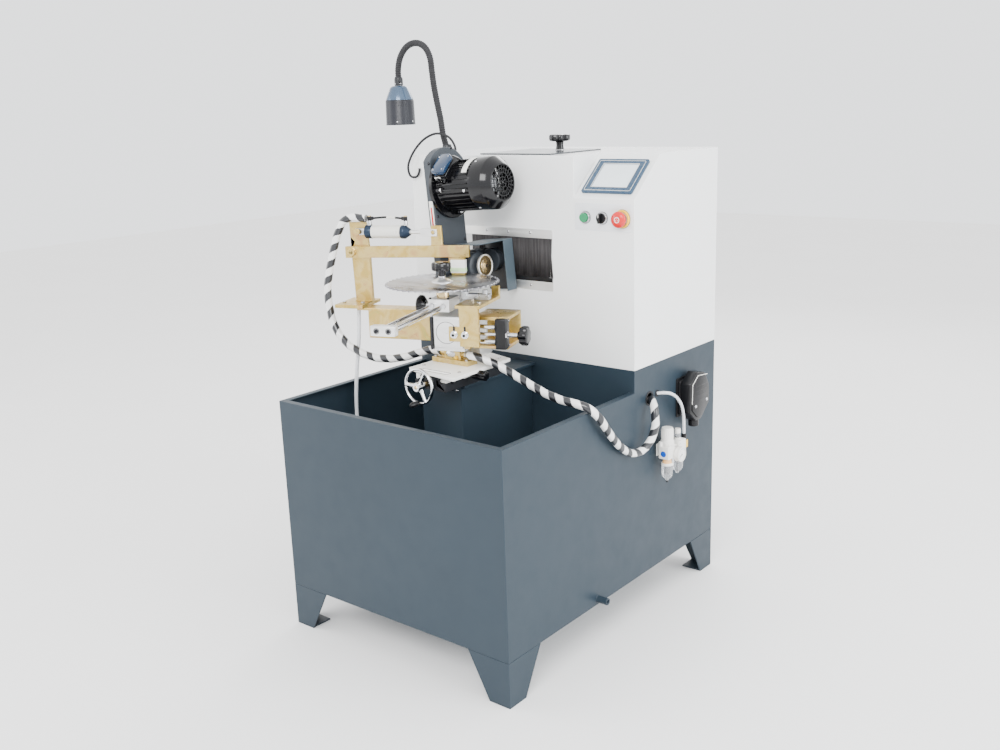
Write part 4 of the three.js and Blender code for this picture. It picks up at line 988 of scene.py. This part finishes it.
def make_arbor_parts():
    rails = Piece("arbor_rods", "carriage", ("chrome", "alloy", "socket"), "chrome", CARRIAGE,
                  ("arbor_rail",))
    for u in (-18, 12):
        rails.rod((u, 105.5, 850), (u, -311.5, 850), 6, 28, 1)
    rails.paint = 1
    rails.box((-39, 20), (-322, -302), (838, 861), 1.4)
    rails.paint = 2
    for u in (-24, 5):
        rails.ring((u, -322, 849.5), (u, -322.4, 849.5), 5.6, 7, 24, 0.1)
        rails.screw((u, -321.6, 849.5), FRONT, 4.9, height=1.6)
    rails.done()

    collar = Piece("arbor_sleeve", "arbor", ("brass", "socket"), "brass", CARRIAGE)
    collar.lathe([(9.5, 0), (15.4, 0), (15.9, 0.6), (15.9, 20), (15, 21.4), (9.5, 21.4)], (0, 0, 867.4),
                 UP, 44)
    collar.paint = 1
    collar.screw((-23, -26, 867), UP, 3.4)
    collar.screw((24, -26, 867), UP, 3.4)
    collar.done()

    knob = Piece("arbor_star", "arbor_lock", ("gloss", "bolt"), "black_plastic", CARRIAGE, ("arbor_knob",))
    knob.paint = 1
    knob.rod((-27.8, -16, 850), (-38.5, -16, 850), 6, 24, 0.6)
    knob.paint = 0
    knob.lathe([(0, 0), (13, 0), (15, 2), (22, 7), (23, 9), (23, 17), (21, 20), (0, 20)], (-38, -16, 850),
               LEFT, 36)
    for i in range(18):
        a, b = polar(-16, 850, 22.6, 20 * i)
        knob.rod((-46.5, a, b), (-55.5, a, b), 1.5, 10, 0.5)
    knob.done()


# ---- the carriage, its clamp and its feed ----
def make_carriage_details():
    face = Piece("carriage_face", "carriage", ("alloy", "socket", "black"), "alloy", CARRIAGE)
    face.plate(rounded(-6, 751.5, 64, 826.5, 3), "y", -47.6, -46.1, bevel=0.3)
    groove = [(25 + p, 789 + q) for p, q in arc(0, 0, 27.4, 0, 350, 40)]
    hole = [(25 + p, 789 + q) for p, q in arc(0, 0, 26.2, 350, 0, 40)]
    face.paint = 1
    face.plate(groove + hole, "y", -47.9, -47.5, bevel=0.05)
    face.paint = 0
    face.screw((25, -47.6, 789), FRONT, 2.6, "button")
    for p, q in ((0, 758), (0, 820), (57, 822)):
        face.screw((p, -47.6, q), FRONT, 1.8, "button")
    face.paint = 2
    face.box((-18, -12.4), (-48, 60), (746, 826), 0.5)
    face.done()


def make_clamp_details():
    bolts = Piece("clamp_bolts", "carriage", ("bolt", "zinc"), "zinc_plate", CARRIAGE)
    for u, z in ((-56, 758), (-56, 804)):
        bolts.screw((u, 60, z), FRONT, 5.4, "socket")
    for u in (-318, -264):
        bolts.screw((u, 84, 828), UP, 5.6, "hex")
    for u, z in ((-295.5, 958), (-274.5, 1012)):
        bolts.screw((u, 126.3, z), BACK, 6.6, "hex")
    bolts.paint = 1
    weld = [(-299 + 6 * i, 114, 828.6 + 0.8 * (i % 2)) for i in range(9)]
    bolts.sweep(weld, 2.2, 10)
    weld = [(-299 + 6 * i, 126.6, 828.6 + 0.8 * (i % 2)) for i in range(9)]
    bolts.sweep(weld, 2.2, 10)
    bolts.done()

    lever = Piece("lever_details", "lever", ("bolt", "zinc"), "zinc_plate", CARRIAGE)
    lever.paint = 1
    lever.lathe([(0, 0), (11, 0), (11, 1.2), (10, 1.8), (0, 1.8)], (-295.5, 102, 960), FRONT, 8)
    lever.screw((-295.5, 100.4, 960), FRONT, 8.4, "hex", 5.4)
    lever.paint = 0
    lever.screw((-61.5, 101.8, 1013), FRONT, 5.6, "hex", 4.4)
    lever.ring((-61.5, 102, 1013), (-61.5, 101, 1013), 5, 8, 28, 0.3)
    lever.done()


def make_foot_pad():
    pad = Piece("foot_pad", "lever", ("pale", "tape"), "zinc_plate", CARRIAGE)
    pad.box((-18.6, 19.6), (100.6, 115.6), (911, 944), 0.8)
    pad.paint = 1
    pad.box((-19.1, 20.1), (100.1, 116.1), (914, 924), 0.5)
    pad.done()


def make_cylinder():
    tall = 1012.0
    v = LEVER_V
    cyl = Piece("clamp_air_cylinder", "cylinder", ("barrel", "caps", "bolt", "plastic", "steel", "brass"),
                "white_plastic",
                CARRIAGE, ("clamp_cylinder",))
    cyl.rod((-236, v, tall), (-150, v, tall), 17.0, 48, 0.6)
    cyl.paint = 1
    cyl.lathe([(0, 0), (16, 0), (17.6, 1.4), (17.6, 18), (17, 19), (0, 19)], (-252.5, v, tall), RIGHT, 48)
    cyl.lathe([(0, 0), (17, 0), (17.6, 1), (17.6, 10), (16.6, 11.6), (9.5, 22.4), (8.6, 23.5), (0, 23.5)],
              (-152, v, tall), RIGHT, 48)
    cyl.paint = 4
    cyl.box((-275 - 8, -252), (v - 5.5, v + 5.5), (tall - 9, tall + 9), 2)
    cyl.rod((-256, v, tall), (-252, v, tall), 9, 28, 0.8)
    for u in (-242, -140):
        cyl.paint = 2
        cyl.lathe([(0, 0), (6.5, 0), (6.5, 5), (5.5, 6), (5.5, 12), (0, 12)], (u, v, tall + 16.6), UP, 6,
                  0.3)
        cyl.paint = 3
        cyl.rod((u, v, tall + 28), (u, v, tall + 39), 5.4, 28, 0.8)
        cyl.rod((u - 1, v, tall + 34.5), (u + (11 if u < -200 else -11), v, tall + 34.5), 4.8, 24, 0.8)
        cyl.paint = 5
        cyl.rod((u, v, tall + 38.6), (u, v, tall + 41.5), 4.6, 24, 0.5)
    cyl.paint = 3
    line = smooth_path([(-232, v, tall + 34.5), (-215, v, tall + 36), (-191, v, tall + 37.5),
                        (-167, v, tall + 36),
                        (-150, v, tall + 34.5)], 3)
    cyl.sweep(line, 2.8, 14)
    cyl.paint = 0
    cyl.rod((-192, v, tall + 37.4), (-168, v, tall + 36.2), 3.4, 20, 0.3)
    cyl.done()


def make_feed():
    front = Piece("bracket_bolts", "carriage", ("chrome", "socket", "bolt"), "zinc_plate", CARRIAGE)
    for u in (48, 76):
        front.ring((u, -54.4, 787), (u, -55.8, 787), 6, 9.4, 32, 0.3)
        front.screw((u, -55.8, 787), FRONT, 7.2, height=6.4)
        front.paint = 1
        front.lathe([(0, 0), (3.4, 0), (3.4, 0.3), (0, 0.3)], (u, -60.5, 787), FRONT, 6)
        front.plate(rounded(u - 2.6, 795, u + 2.6, 808, 2.5), "y", -54.7, -54.4, bevel=0.05)
        front.paint = 0
    front.paint = 2
    front.screw((102, -22, 859), UP, 5.2, "hex")
    front.screw((74, 8, 859), UP, 4.4, "socket")
    front.done()

    unit = Piece("feed_block", "carriage", ("zinc", "chrome", "plastic", "bolt"), "zinc_plate", CARRIAGE,
                 ("feed_unit",))
    unit.box((68.3, 84), (-44, 12), (750, 826), 1.2)
    unit.box((84, 172), (-20, 84), (818, 826), 0.8)
    unit.box((84, 172), (76, 84), (750, 826), 0.8)
    unit.box((84, 172), (-20, 84), (748, 756), 0.8)
    unit.paint = 1
    for z, r in ((804, 5.6), (786, 4.4), (768, 5.6)):
        unit.rod((83, -28, z), (150, -28, z), r, 28, 0.5)
        unit.ring((84, -28, z), (92, -28, z), r, r + 3.2, 28, 0.6)
    unit.paint = 2
    unit.plate([(p, q) for p, q in rounded(-36, 750, -6, 825, 4)], "x", 146, 172, bevel=1.6)
    for z in (804, 768):
        unit.ring((145.4, -28, z), (148, -28, z), 6, 11, 28, 0.6)
    unit.paint = 3
    for q in (758, 817):
        unit.screw((172, -12, q), RIGHT, 2.6)
    unit.ring((172, -28, 786), (176, -28, 786), 6, 10, 6, 0.5)
    unit.done()

    knob = Piece("stroke_star", "stroke_adjuster", ("gloss", "chrome"), "black_plastic", CARRIAGE,
                 ("stroke_knob",))
    knob.paint = 1
    knob.rod((176.6, -28, 786), (206, -28, 786), 5.4, 28, 0.4)
    for i in range(7):
        knob.ring((181 + 3.2 * i, -28, 786), (182.4 + 3.2 * i, -28, 786), 5.2, 5.75, 28, 0.2)
    knob.paint = 0
    knob.lathe([(0, 0), (9, 0), (11, 2), (15, 8), (0, 8)], (202, -28, 786), RIGHT, 36)
    knob.knob((208, -28, 786), RIGHT, 24, 20, 7, 0.15, 5)
    knob.done()


# ---- the table and its handwheel ----
def make_table_details():
    top = Piece("table_groove", "table", ("black", "bolt"), "white_plastic", MACHINE)
    slot = rounded(-40, -298, 60, -282, 7.9)
    inner = rounded(-38.6, -296.6, 58.6, -283.4, 6.5)
    top.plate(slot, "z", 700.05, 700.5, [inner], bevel=0.05)
    top.paint = 1
    for x, y in ((-52, -112), (62, -104), (70, -268), (-54, -258)):
        top.screw((x, y, 700), UP, 4.6, "socket", 2.5)
    top.done()

    valve = Piece("ball_valve", "table", ("bolt", "brass", "chrome", "yellow", "steel"), "zinc_plate",
                  MACHINE)
    for x, sign in ((-66, -1), (46, 1)):
        valve.paint = 1
        valve.rod((x + 18 * -sign, -196, 724.3), (x + 7 * sign, -196, 724.3), 8.2, 6, 0.8)
        valve.paint = 4
        for k in range(3):
            valve.ring((x - sign * (1 + 5 * k), -196, 724.3), (x - sign * (3 + 5 * k), -196, 724.3), 8.0,
                       9.6, 28, 0.4)
    valve.paint = 0
    valve.lathe([(0, 0), (11, 0), (12.6, 3), (15, 10), (15, 24), (12.6, 31), (11, 34), (0, 34)],
                (-26, -196, 724.3), RIGHT, 32)
    valve.paint = 2
    valve.rod((-9, -196, 736), (-9, -196, 744), 5.4, 24, 0.8)
    valve.paint = 3
    valve.box((6, 14), (-212, -206), (713, 722), 1.4)
    valve.paint = 0
    for x in (-58, 42):
        valve.screw((x, -208, 712.3), UP, 3.6)
        valve.screw((x, -182, 712.3), UP, 3.6)
    valve.done()

    base = Piece("slide_details", "frame", ("black", "socket", "bolt", "dark"), "black_metal", MACHINE)
    base.paint = 1
    for y in (-100, -160, -275):
        base.screw((52, y, 676), RIGHT, 4.0)
    for x in (-30, 36):
        base.screw((x, -300, 678), FRONT, 3.6)
    base.paint = 3
    base.ring((2, -300, 672), (2, -306, 672), 9, 14, 36, 0.8)
    base.done()

    lock = Piece("slide_lock_screw", "table_lock", ("steel", "gloss"), "black_plastic", MACHINE,
                 ("slide_lock",))
    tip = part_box("slide_lock")
    lock.rod((62.6, -215, 685), (74, -215, 685), 5, 24, 0.6)
    lock.paint = 1
    far = (tip[1][0] - SHIFT[0]) * 1000
    lock.knob((72, -215, 685), RIGHT, 12.5, far - 72, 6, 0.14, 2.2)
    lock.done()


def make_handwheel():
    x, z = 2, 672
    wheel = Piece("hand_wheel", "handwheel", ("chrome", "brass", "plastic"), "chrome", MACHINE,
                  ("handwheel",))
    turns = [2 * math.pi * i / 16 for i in range(16)]
    rim = [(39 + 3.5 + 3.5 * math.cos(t), 4.2 * math.sin(t)) for t in turns]
    wheel.lathe(rim, (x, -338, z), FRONT, 64)
    for turn in (60, 180, 300):
        t = math.radians(turn)
        side = Vector((math.cos(t), 0, math.sin(t)))
        points = [Vector((x, -338, z)) + side * s + Vector((0, lift, 0)) for s, lift in
                  ((8, 1.5), (16, 1), (26, 0), (35, -0.5), (41, 0))]
        wheel.sweep(points, 5.2, 18, [6.4, 5.6, 4.9, 4.7, 5.4])
    wheel.paint = 1
    wheel.lathe([(0, 0), (5, 0), (5, 1), (0, 1.6)], (x, -350, z), FRONT, 6)
    wheel.paint = 0
    back = (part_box("handwheel")[1][1] - SHIFT[1]) * 1000
    wheel.lathe([(0, 0), (9, 0), (11, 1.5), (11, 22), (9.5, 24), (0, 24)], (x, -326, z), FRONT, 36)
    wheel.paint = 1
    wheel.rod((x, min(back, -307), z), (x, -326, z), 6.6, 28, 0.4)
    wheel.paint = 2
    wheel.lathe([(0, 0), (4.4, 0), (5.4, 2), (7, 12), (6.4, 24), (4, 29), (0, 30)], (x, -342, z - 40),
                FRONT, 28)
    wheel.done()


# ---- the front panel ----
def make_controls():
    z = BUTTON_Z
    film = Piece("control_film", "frame", "film", "cabinet_paint", MACHINE)
    film.plate(rounded(188, z - 32, 355, z + 35, 3), "y", FRONT_Y - 0.5, FRONT_Y - 0.05,
               [circle(x, z, r, 40) for x, r in ((START_X, 15.9), (SELECTOR_X, 15.9), (STOP_X, 22.9))],
               bevel=0.1)
    film.done()
    for node, x, r, material, slot in (
            ("start_bezel", START_X, 15, "bolt", "chrome"),
            ("selector_bezel", SELECTOR_X, 15, "bolt", "chrome"),
            ("stop_bezel", STOP_X, 22, "yellow", "yellow_plastic")):
        bezel = Piece(node + "_ring", "frame", (material, "plastic"), slot, MACHINE, (node,))
        inner = 12.0 if r == 15 else 17.0
        bezel.lathe([(inner, 0.3), (r - 0.6, 0.3), (r, 0.9), (r, 3.6), (r - 1.6, 6), (inner + 0.6, 6.2),
                     (inner, 5.4)],
                    (x, FRONT_Y - 0.1, z), FRONT, 56)
        bezel.paint = 1
        bezel.ring((x, FRONT_Y - 0.2, z), (x, FRONT_Y - 1.0, z), r - 0.4, r + 0.7, 48, 0.1)
        bezel.done()
    start = Piece("start_cap", "start", "green", "green_plastic", MACHINE, ("start_button",))
    start.lathe([(0, 0.4), (11, 0.4), (11.2, 1), (11.2, 10.8), (10.6, 12.2), (9, 12.5), (4, 12.0),
                 (0, 11.8)],
                (START_X, FRONT_Y, z), FRONT, 48)
    start.done()
    selector = Piece("selector_cap", "selector", ("plastic", "pale"), "black_plastic", MACHINE,
                     ("selector_knob",))
    selector.lathe([(0, 6.5), (12, 6.5), (13, 7.5), (13, 9.4), (12.2, 10.4), (0, 10.6)],
                   (SELECTOR_X, FRONT_Y, z), FRONT, 48)
    selector.plate([(SELECTOR_X + p, z + q) for p, q in rounded(-3, -12, 3, 12, 2.6)], "y", 36.8, 47,
                   bevel=1.1)
    selector.paint = 1
    selector.box((SELECTOR_X - 0.8, SELECTOR_X + 0.8), (36.5, 37), (z + 2, z + 11), 0.1)
    selector.done()
    stop = Piece("stop_cap", "stop", ("red", "pale"), "red_plastic", MACHINE, ("stop_button",))
    stop.lathe([(0, 7), (10, 7), (10.4, 12), (16, 13.5), (19.4, 15), (20, 17.5), (19.2, 21), (15.5, 24.4),
                (8.6, 25.8),
                (8.0, 25.2), (0, 25.2)], (STOP_X, FRONT_Y, z), FRONT, 64)
    stop.paint = 1
    stop.ring((STOP_X, 31.8, z), (STOP_X, 31.4, z), 5.6, 7.2, 48, 0.05)
    for turn in (90, 210, 330):
        p, q = polar(STOP_X, z, 3, turn)
        stop.box((p - 0.8, p + 0.8), (31.4, 31.8), (q - 0.8, q + 0.8), 0.1)
    stop.done()


def make_display():
    """The touch panel on the slope: gasket, frame with a fine contour line, and a lit screen."""
    panel = Piece("touch_panel", "frame", ("navy", "seal", "screen", "pale"), "screen_frame", SLOPE,
                  ("hmi_panel",))
    panel.paint = 1
    panel.plate(rounded(199, 13, 348, 131, 3), "z", 0.3, 2.0, bevel=0.4)
    panel.paint = 0
    opening = rounded(223, 34, 324, 112, 1.5)
    panel.plate(rounded(201, 15, 346, 129, 5), "z", 2.0, 8.2, [opening], bevel=1.4)
    panel.paint = 2
    panel.plate(rounded(222, 33, 325, 113, 1), "z", 3.0, 7.0, bevel=0.2)
    panel.paint = 3
    panel.plate(rounded(207, 21, 340, 123, 4), "z", 8.1, 8.45, [rounded(207.9, 21.9, 339.1, 122.1, 3.4)],
                bevel=0.05)
    frame_line = rounded(221.4, 32.4, 325.6, 113.6, 2)
    panel.plate(frame_line, "z", 8.1, 8.5, [rounded(222.6, 33.6, 324.4, 112.4, 1.6)], bevel=0.05)
    panel.done()


def make_strip_screws():
    trim = Piece("strip_screws", "frame", "bolt", "alloy", MACHINE)
    for z, places in ((998, (-97, -24, 48)), (862, (-97, -26, 46))):
        for x in places:
            trim.screw((x, 54.8, z), FRONT, 3.8, "button")
    trim.done()


def make_bristles():
    """The curtain as rows of fine bristles hanging from the upper strip, parted round the sleeve."""
    rng = random.Random(11)
    curtain = Piece("brush_bristles", "frame", ("bristle", "plastic"), "rubber", MACHINE,
                    ("brush_curtain",))
    # The first black board, behind the bristles inside the slot, is painted shade: it stands for the dark
    # inside of the cabinet seen through the curtain.
    curtain.paint = 1
    curtain.box((-149, 103), (62, 66.9), (866, 994), 0.5)
    curtain.box((-149, 116), (54.95, 56.6), (873.2, 884), 0.3)
    curtain.paint = 0
    bm = curtain.bm
    for row, y in enumerate((55.3, 56.0, 56.6, 61.4)):
        x = -147.5 + 0.4 * row
        while x < (116 if row < 3 else 102):
            gap = -124 < x < -26
            foot = (962 if gap else 883) + rng.uniform(0, 3.5) + 2.5 * math.sin(x / 9 + row)
            edge = max(0.0, (x - 96) / 20)
            lean = rng.uniform(-1.2, 1.2) + (3.2 * edge * math.sin(row + 2) if row < 3 else 0)
            half = 0.5 if row == 3 else 0.24
            wide = 0.55
            top, mid, low = [], [], []
            for p, q in ((-wide, -half), (wide, -half), (wide, half), (-wide, half)):
                top.append(bm.verts.new((x + p, y + q, 984.7)))
                mid.append(bm.verts.new((x + p - 2.6 * edge, y + q, 940)))
                low.append(bm.verts.new((x + p + lean, y + q, foot)))
            for upper, lower in ((top, mid), (mid, low)):
                for k in range(4):
                    n = (k + 1) % 4
                    bm.faces.new((lower[k], lower[n], upper[n], upper[k]))
            bm.faces.new(list(reversed(low)))
            bm.faces.new(top)
            x += rng.uniform(1.15, 1.7)
    curtain.done()


# ---- the roof: hatch knob and work lamp ----
def make_hatch_knob():
    knob = Piece("hatch_star", "hatch_handle", ("gloss", "bolt"), "black_plastic", MACHINE, ("hatch_knob",))
    knob.paint = 1
    x, y = HATCH_KNOB
    knob.ring((x, y, 1195.7), (x, y, 1197.4), 6, 13, 32, 0.3)
    knob.paint = 0
    knob.lathe([(0, 1.9), (10.6, 1.9), (11, 2.4), (9.6, 12), (10.4, 20), (14, 24), (0, 24)],
               (x, y, 1195.6), UP, 40)
    top = (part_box("hatch_knob")[1][2] - SHIFT[2]) * 1000
    knob.knob((x, y, 1218.6), UP, 29, top - 1218.6 - 1, 7, 0.15, 5)
    knob.paint = 1
    knob.lathe([(0, 0), (5.4, 0), (5, 0.8), (0, 1)], (x, y, top - 1), UP, 24)
    knob.done()


def make_lamp():
    base = Piece("lamp_neck", "frame", ("rubber", "bolt", "black"), "black_metal", MACHINE, ("lamp_arm",))
    base.paint = 2
    base.lathe([(0, 0), (25.5, 0), (26, 0.6), (26, 6), (24, 9), (14, 11), (12, 24), (11, 26), (0, 26)],
               (-255, 90, 1192.35), UP, 48)
    base.paint = 1
    for turn in (45, 165, 285):
        base.screw((*polar(-255, 90, 19, turn), 1200.6), UP, 2.8, "pan")
    base.rod((-230, 90, 1205), (-242, 90, 1205), 3.4, 20, 0.6)
    base.paint = 0
    path = smooth_path(NECK, 1.55)
    radius = [8.4 + 0.6 * math.sin(i * math.pi / 1.9) for i in range(len(path))]
    base.sweep(path, 9.5, 20, radius)
    base.paint = 2
    cx, cy = -424, 90
    base.lathe([(0, 0), (11, 0), (12, 1), (12, 16), (11, 20), (9.5, 23.4), (0, 23.4)], (cx, cy, 1378.4),
               UP, 40)
    base.rod((cx + 10, cy - 6, 1391), (cx + 19, cy - 11, 1391), 4.6, 24, 1)
    base.paint = 1
    for turn in (-110, -20, 100):
        base.screw((*polar(cx, cy, 11.4, turn), 1383), (*polar(0, 0, 1, turn), 0), 2.6, "button", 1.6)
    base.done()

    hood = Piece("lamp_head", "shade", ("lamp", "bolt", "black", "pale", "lamp_top"), "black_metal",
                 MACHINE, ("lamp_shade",))
    top = 1377.9
    hood.paint = 4
    hood.lathe([(0, 0), (13, 0), (20, -1.4), (24.6, -5), (26, -8), (37.6, -35.6), (38, -38), (36, -38),
                (23, -8.6), (0, -3)],
               (cx, cy, top), UP, 64)
    hood.paint = 0
    hood.lathe([(36, -37.6), (38.2, -38.4), (39.4, -42), (40.6, -102), (41, -103), (41, -106),
                (39.4, -106), (38.6, -102),
                (37, -42)], (cx, cy, top), UP, 72)
    hood.paint = 2
    for row, count, start, r, h in ((0, 5, -70, 39.0, -46), (1, 4, -51, 39.1, -53)):
        for k in range(count):
            near, far = (polar(cx, cy, reach, start + (11 - 3 * row) * k) for reach in (r, r + 0.75))
            hood.rod((*near, top + h), (*far, top + h), 1.6, 16, 0.1)
    hood.paint = 1
    for turn in (-130, -60, 10, 100, 170):
        hood.screw((*polar(cx, cy, 40.4, turn), top - 97), (*polar(0, 0, 1, turn), 0), 2.2, "button", 0.7)
    for turn in (-120, 60):
        hood.screw((*polar(cx, cy, 29, turn), top - 16), (*polar(0, 0, 1, turn), 0.4), 2.4, "button", 1.6)
    hood.paint = 3
    hood.lathe([(0, 0), (24, 0), (30, -6), (33, -16), (33, -20), (0, -24)], (cx, cy, top - 66), UP, 48)
    hood.paint = 2
    hood.rod((cx, cy, top - 38), (cx, cy, top - 68), 16, 40, 1)
    hood.done()


# ---- the tank's side: air unit and mains connector ----
def make_air_unit():
    x = 388
    unit = Piece("air_service_unit", "frame", ("pale", "plastic", "bowl", "blue", "orange", "black",
                                               "bolt", "yellow"),
                 "white_plastic", MACHINE, ("air_unit",))
    for y in (170, 223):
        unit.plate([(y + p, 437.5 + q) for p, q in rounded(-20, -18.5, 20, 18.5, 5)], "x", x - 14.6,
                   x + 14.6, bevel=2)
    unit.box((x - 9, x + 9), (188, 206), (425, 449), 1.4)
    unit.box((360.4, x - 14), (178, 216), (428, 448), 1.2)
    unit.box((360.4, 363.5), (160, 234), (422, 454), 0.8)
    unit.rod((x, 243, 438), (x, 249, 438), 8, 28, 1)
    unit.paint = 6
    for y in (184, 210):
        unit.screw((x + 14.6, y, 449), RIGHT, 2.4, "pan", 1)
    unit.paint = 4
    unit.lathe([(0, 0), (12.6, 0), (11, 5), (11.4, 10), (13, 13), (0, 13)], (x, 170, 406.5), UP, 40)
    unit.paint = 0
    unit.lathe([(0, 0), (14.6, 0), (15.4, 1), (15.4, 5), (14.4, 6.4), (0, 6.4)], (x, 170, 400), UP, 40)
    unit.lathe([(0, 0), (14, 0), (15.4, 1), (15.4, 5), (0, 5)], (x, 223, 414.5), UP, 40)
    unit.rod((x - 9, 152, 452), (x - 9, 152, 466), 5.4, 24, 1.4)
    unit.paint = 2
    unit.lathe([(0, 0), (4, 0), (5, 5), (11, 8), (13.6, 14), (14.4, 22), (14.4, 43), (0, 43)],
               (x, 170, 357.5), UP, 48)
    unit.lathe([(0, 0), (4, 0), (5, 5), (10, 8), (13.6, 14), (14.4, 22), (14.4, 51.8), (0, 51.8)],
               (x, 223, 363), UP, 48)
    unit.paint = 5
    unit.rod((x, 170, 352.2), (x, 170, 359), 3.2, 20, 0.6)
    unit.rod((x, 170, 376), (x, 170, 400), 5, 24, 1)
    unit.rod((x, 223, 372), (x, 223, 410), 1.6, 16, 0.3)
    unit.paint = 0
    unit.lathe([(0, 0), (11, 0), (11, 2.4), (8, 4), (8, 6), (0, 6)], (x, 223, 455.6), UP, 36)
    unit.paint = 2
    unit.lathe([(0, 0), (7.6, 0), (7.6, 11), (0, 11)], (x, 223, 461.6), UP, 36)
    unit.paint = 0
    unit.lathe([(0, 0), (7.8, 0), (8, 1), (8, 10), (7, 12), (0, 12.6)], (x, 223, 472.6), UP, 36)
    unit.paint = 3
    unit.rod((x, 154, 434), (x, 149, 434), 8, 32, 0.8)
    unit.lathe([(0, 0), (5.4, 0), (5, 1), (0, 1.2)], (x, 149.4, 434), FRONT, 24)
    unit.paint = 1
    unit.box((x - 8, x + 8), (248.2, 264), (430, 446), 2)
    unit.rod((x, 256, 446), (x, 256, 461.6), 6.6, 28, 0.8)
    unit.paint = 7
    unit.box((x + 8.1, x + 9), (249, 262), (426, 446), 0.3)
    unit.done()

    dial = Piece("pressure_dial", "frame", ("pale", "white", "black"), "white_plastic", MACHINE)
    centre = (x + 14.7, 196, 426)
    dial.lathe([(0, 0), (18, 0), (20, 1.6), (20, 14), (19, 15.2), (17.6, 15.2), (17.6, 13.4), (0, 13.4)],
               centre, RIGHT, 56)
    dial.paint = 1
    face = x + 14.7 + 13.5
    dial.lathe([(0, 0), (17.4, 0), (17.4, 0.5), (0, 0.5)], (face, 196, 426), RIGHT, 56)
    dial.paint = 2
    for i in range(19):
        mark = 3.4 if i % 3 == 0 else 1.9
        inner, outer = (polar(196, 426, r, 225 - 15 * i) for r in (15.8 - mark, 15.8))
        dial.rod((face + 0.55, *inner), (face + 0.55, *outer), 0.32, 8, 0.05)
    dial.rod((face + 0.9, 196, 426), (face + 0.9, *polar(196, 426, 12, 205)), 0.45, 8, 0.05)
    dial.rod((face + 0.4, 196, 426), (face + 1.5, 196, 426), 1.6, 20, 0.2)
    dial.done()

    cap = Piece("air_adjuster_cap", "air_adjuster", "pale", "white_plastic", MACHINE, ("air_knob",))
    cap.lathe([(0, 0), (17.6, 0), (18, 0.6), (18, 10), (16.6, 12), (15.4, 14), (15.2, 42), (13.6, 45),
               (0, 46)],
              (x, 170, 456.3), UP, 56)
    for i in range(22):
        t = 2 * math.pi * i / 22
        cap.rod((x + 15.1 * math.cos(t), 170 + 15.1 * math.sin(t), 473),
                (x + 15.1 * math.cos(t), 170 + 15.1 * math.sin(t), 497), 0.85, 10, 0.3)
    cap.done()


def make_connector():
    plug = Piece("mains_connector", "frame", ("plastic", "bolt", "pale"), "black_plastic", MACHINE,
                 ("power_connector",))
    plug.plate(rounded(260, 500, 370, 606, 6), "x", 360.4, 364, bevel=0.8)
    plug.plate(rounded(264, 506, 366, 600, 5), "x", 363.9, 372, bevel=1.6)
    hood = [(264, 516), (296, 488), (324, 488), (366, 524), (366, 576), (344, 612), (300, 622), (264, 596)]
    plug.plate(hood, "x", 372, 402, bevel=4)
    inner = [(315 + (y - 315) * 0.86, 555 + (z - 555) * 0.86) for y, z in hood]
    plug.plate(inner, "x", 401, 406, bevel=2.2)
    for i in range(4):
        z = 546 + 13 * i
        plug.box((403, 406.2), (284, 346), (z - 2, z + 2), 0.9)
    plug.rod((386.3, 310, 492), (386.3, 310, 470.4), 13.8, 32, 1.2)
    for i in range(4):
        plug.ring((386.3, 310, 488 - 4.4 * i), (386.3, 310, 486 - 4.4 * i), 13, 14.3, 32, 0.4)
    plug.paint = 2
    plug.sweep([(403, 352, 606), (404, 300, 612), (404, 272, 592), (403.6, 271, 540)], 0.9, 8)
    plug.paint = 1
    plug.screw((405.8, 287, 531), RIGHT, 4.6, "pan", 2.6)
    plug.screw((405.8, 346, 538), RIGHT, 4.6, "pan", 2.6)
    plug.done()


# ---- plates and fixings round the tank and cabinet ----
def make_body_details():
    wall = Piece("wall_fittings", "frame", ("black", "bolt", "seal", "rubber"), "tank_paint", MACHINE)
    wall.paint = 3
    wall.ring((360.1, 127, 585), (361.3, 127, 585), 15, 19, 40, 0.3)
    wall.ring((360.1, 164, 590), (361.4, 164, 590), 5, 9, 32, 0.3)
    wall.paint = 2
    rng = random.Random(5)
    for x in range(-88, 40, 7):
        wall.lathe([(0, 0), (4, 0), (3.4, 2), (1.6, 3), (0, 3)], (x + rng.uniform(-1, 1), -233.5, 116.4),
                   UP, 14)
    wall.paint = 1
    for x in (-86, -62, 10, 26):
        wall.screw((x, -229, 640), FRONT, 3.8, "button")
    wall.done()

    rear = Piece("rear_door_fittings", "door", ("black", "bolt"), "cabinet_paint", MACHINE)
    rear.paint = 1
    for x, z in ((-320, 715), (-320, 1155), (320, 715), (320, 1155)):
        rear.screw((x, 475.3, z), BACK, 3.2, "pan")
    rear.done()


def make_pieces():
    make_skins()
    make_motor()
    make_fan_cover()
    make_guard_details()
    make_spindle_parts()
    make_blade()
    make_arbor_parts()
    make_carriage_details()
    make_clamp_details()
    make_foot_pad()
    make_cylinder()
    make_feed()
    make_table_details()
    make_handwheel()
    make_controls()
    make_display()
    make_strip_screws()
    make_bristles()
    make_hatch_knob()
    make_lamp()
    make_air_unit()
    make_connector()
    make_body_details()


make_pieces()
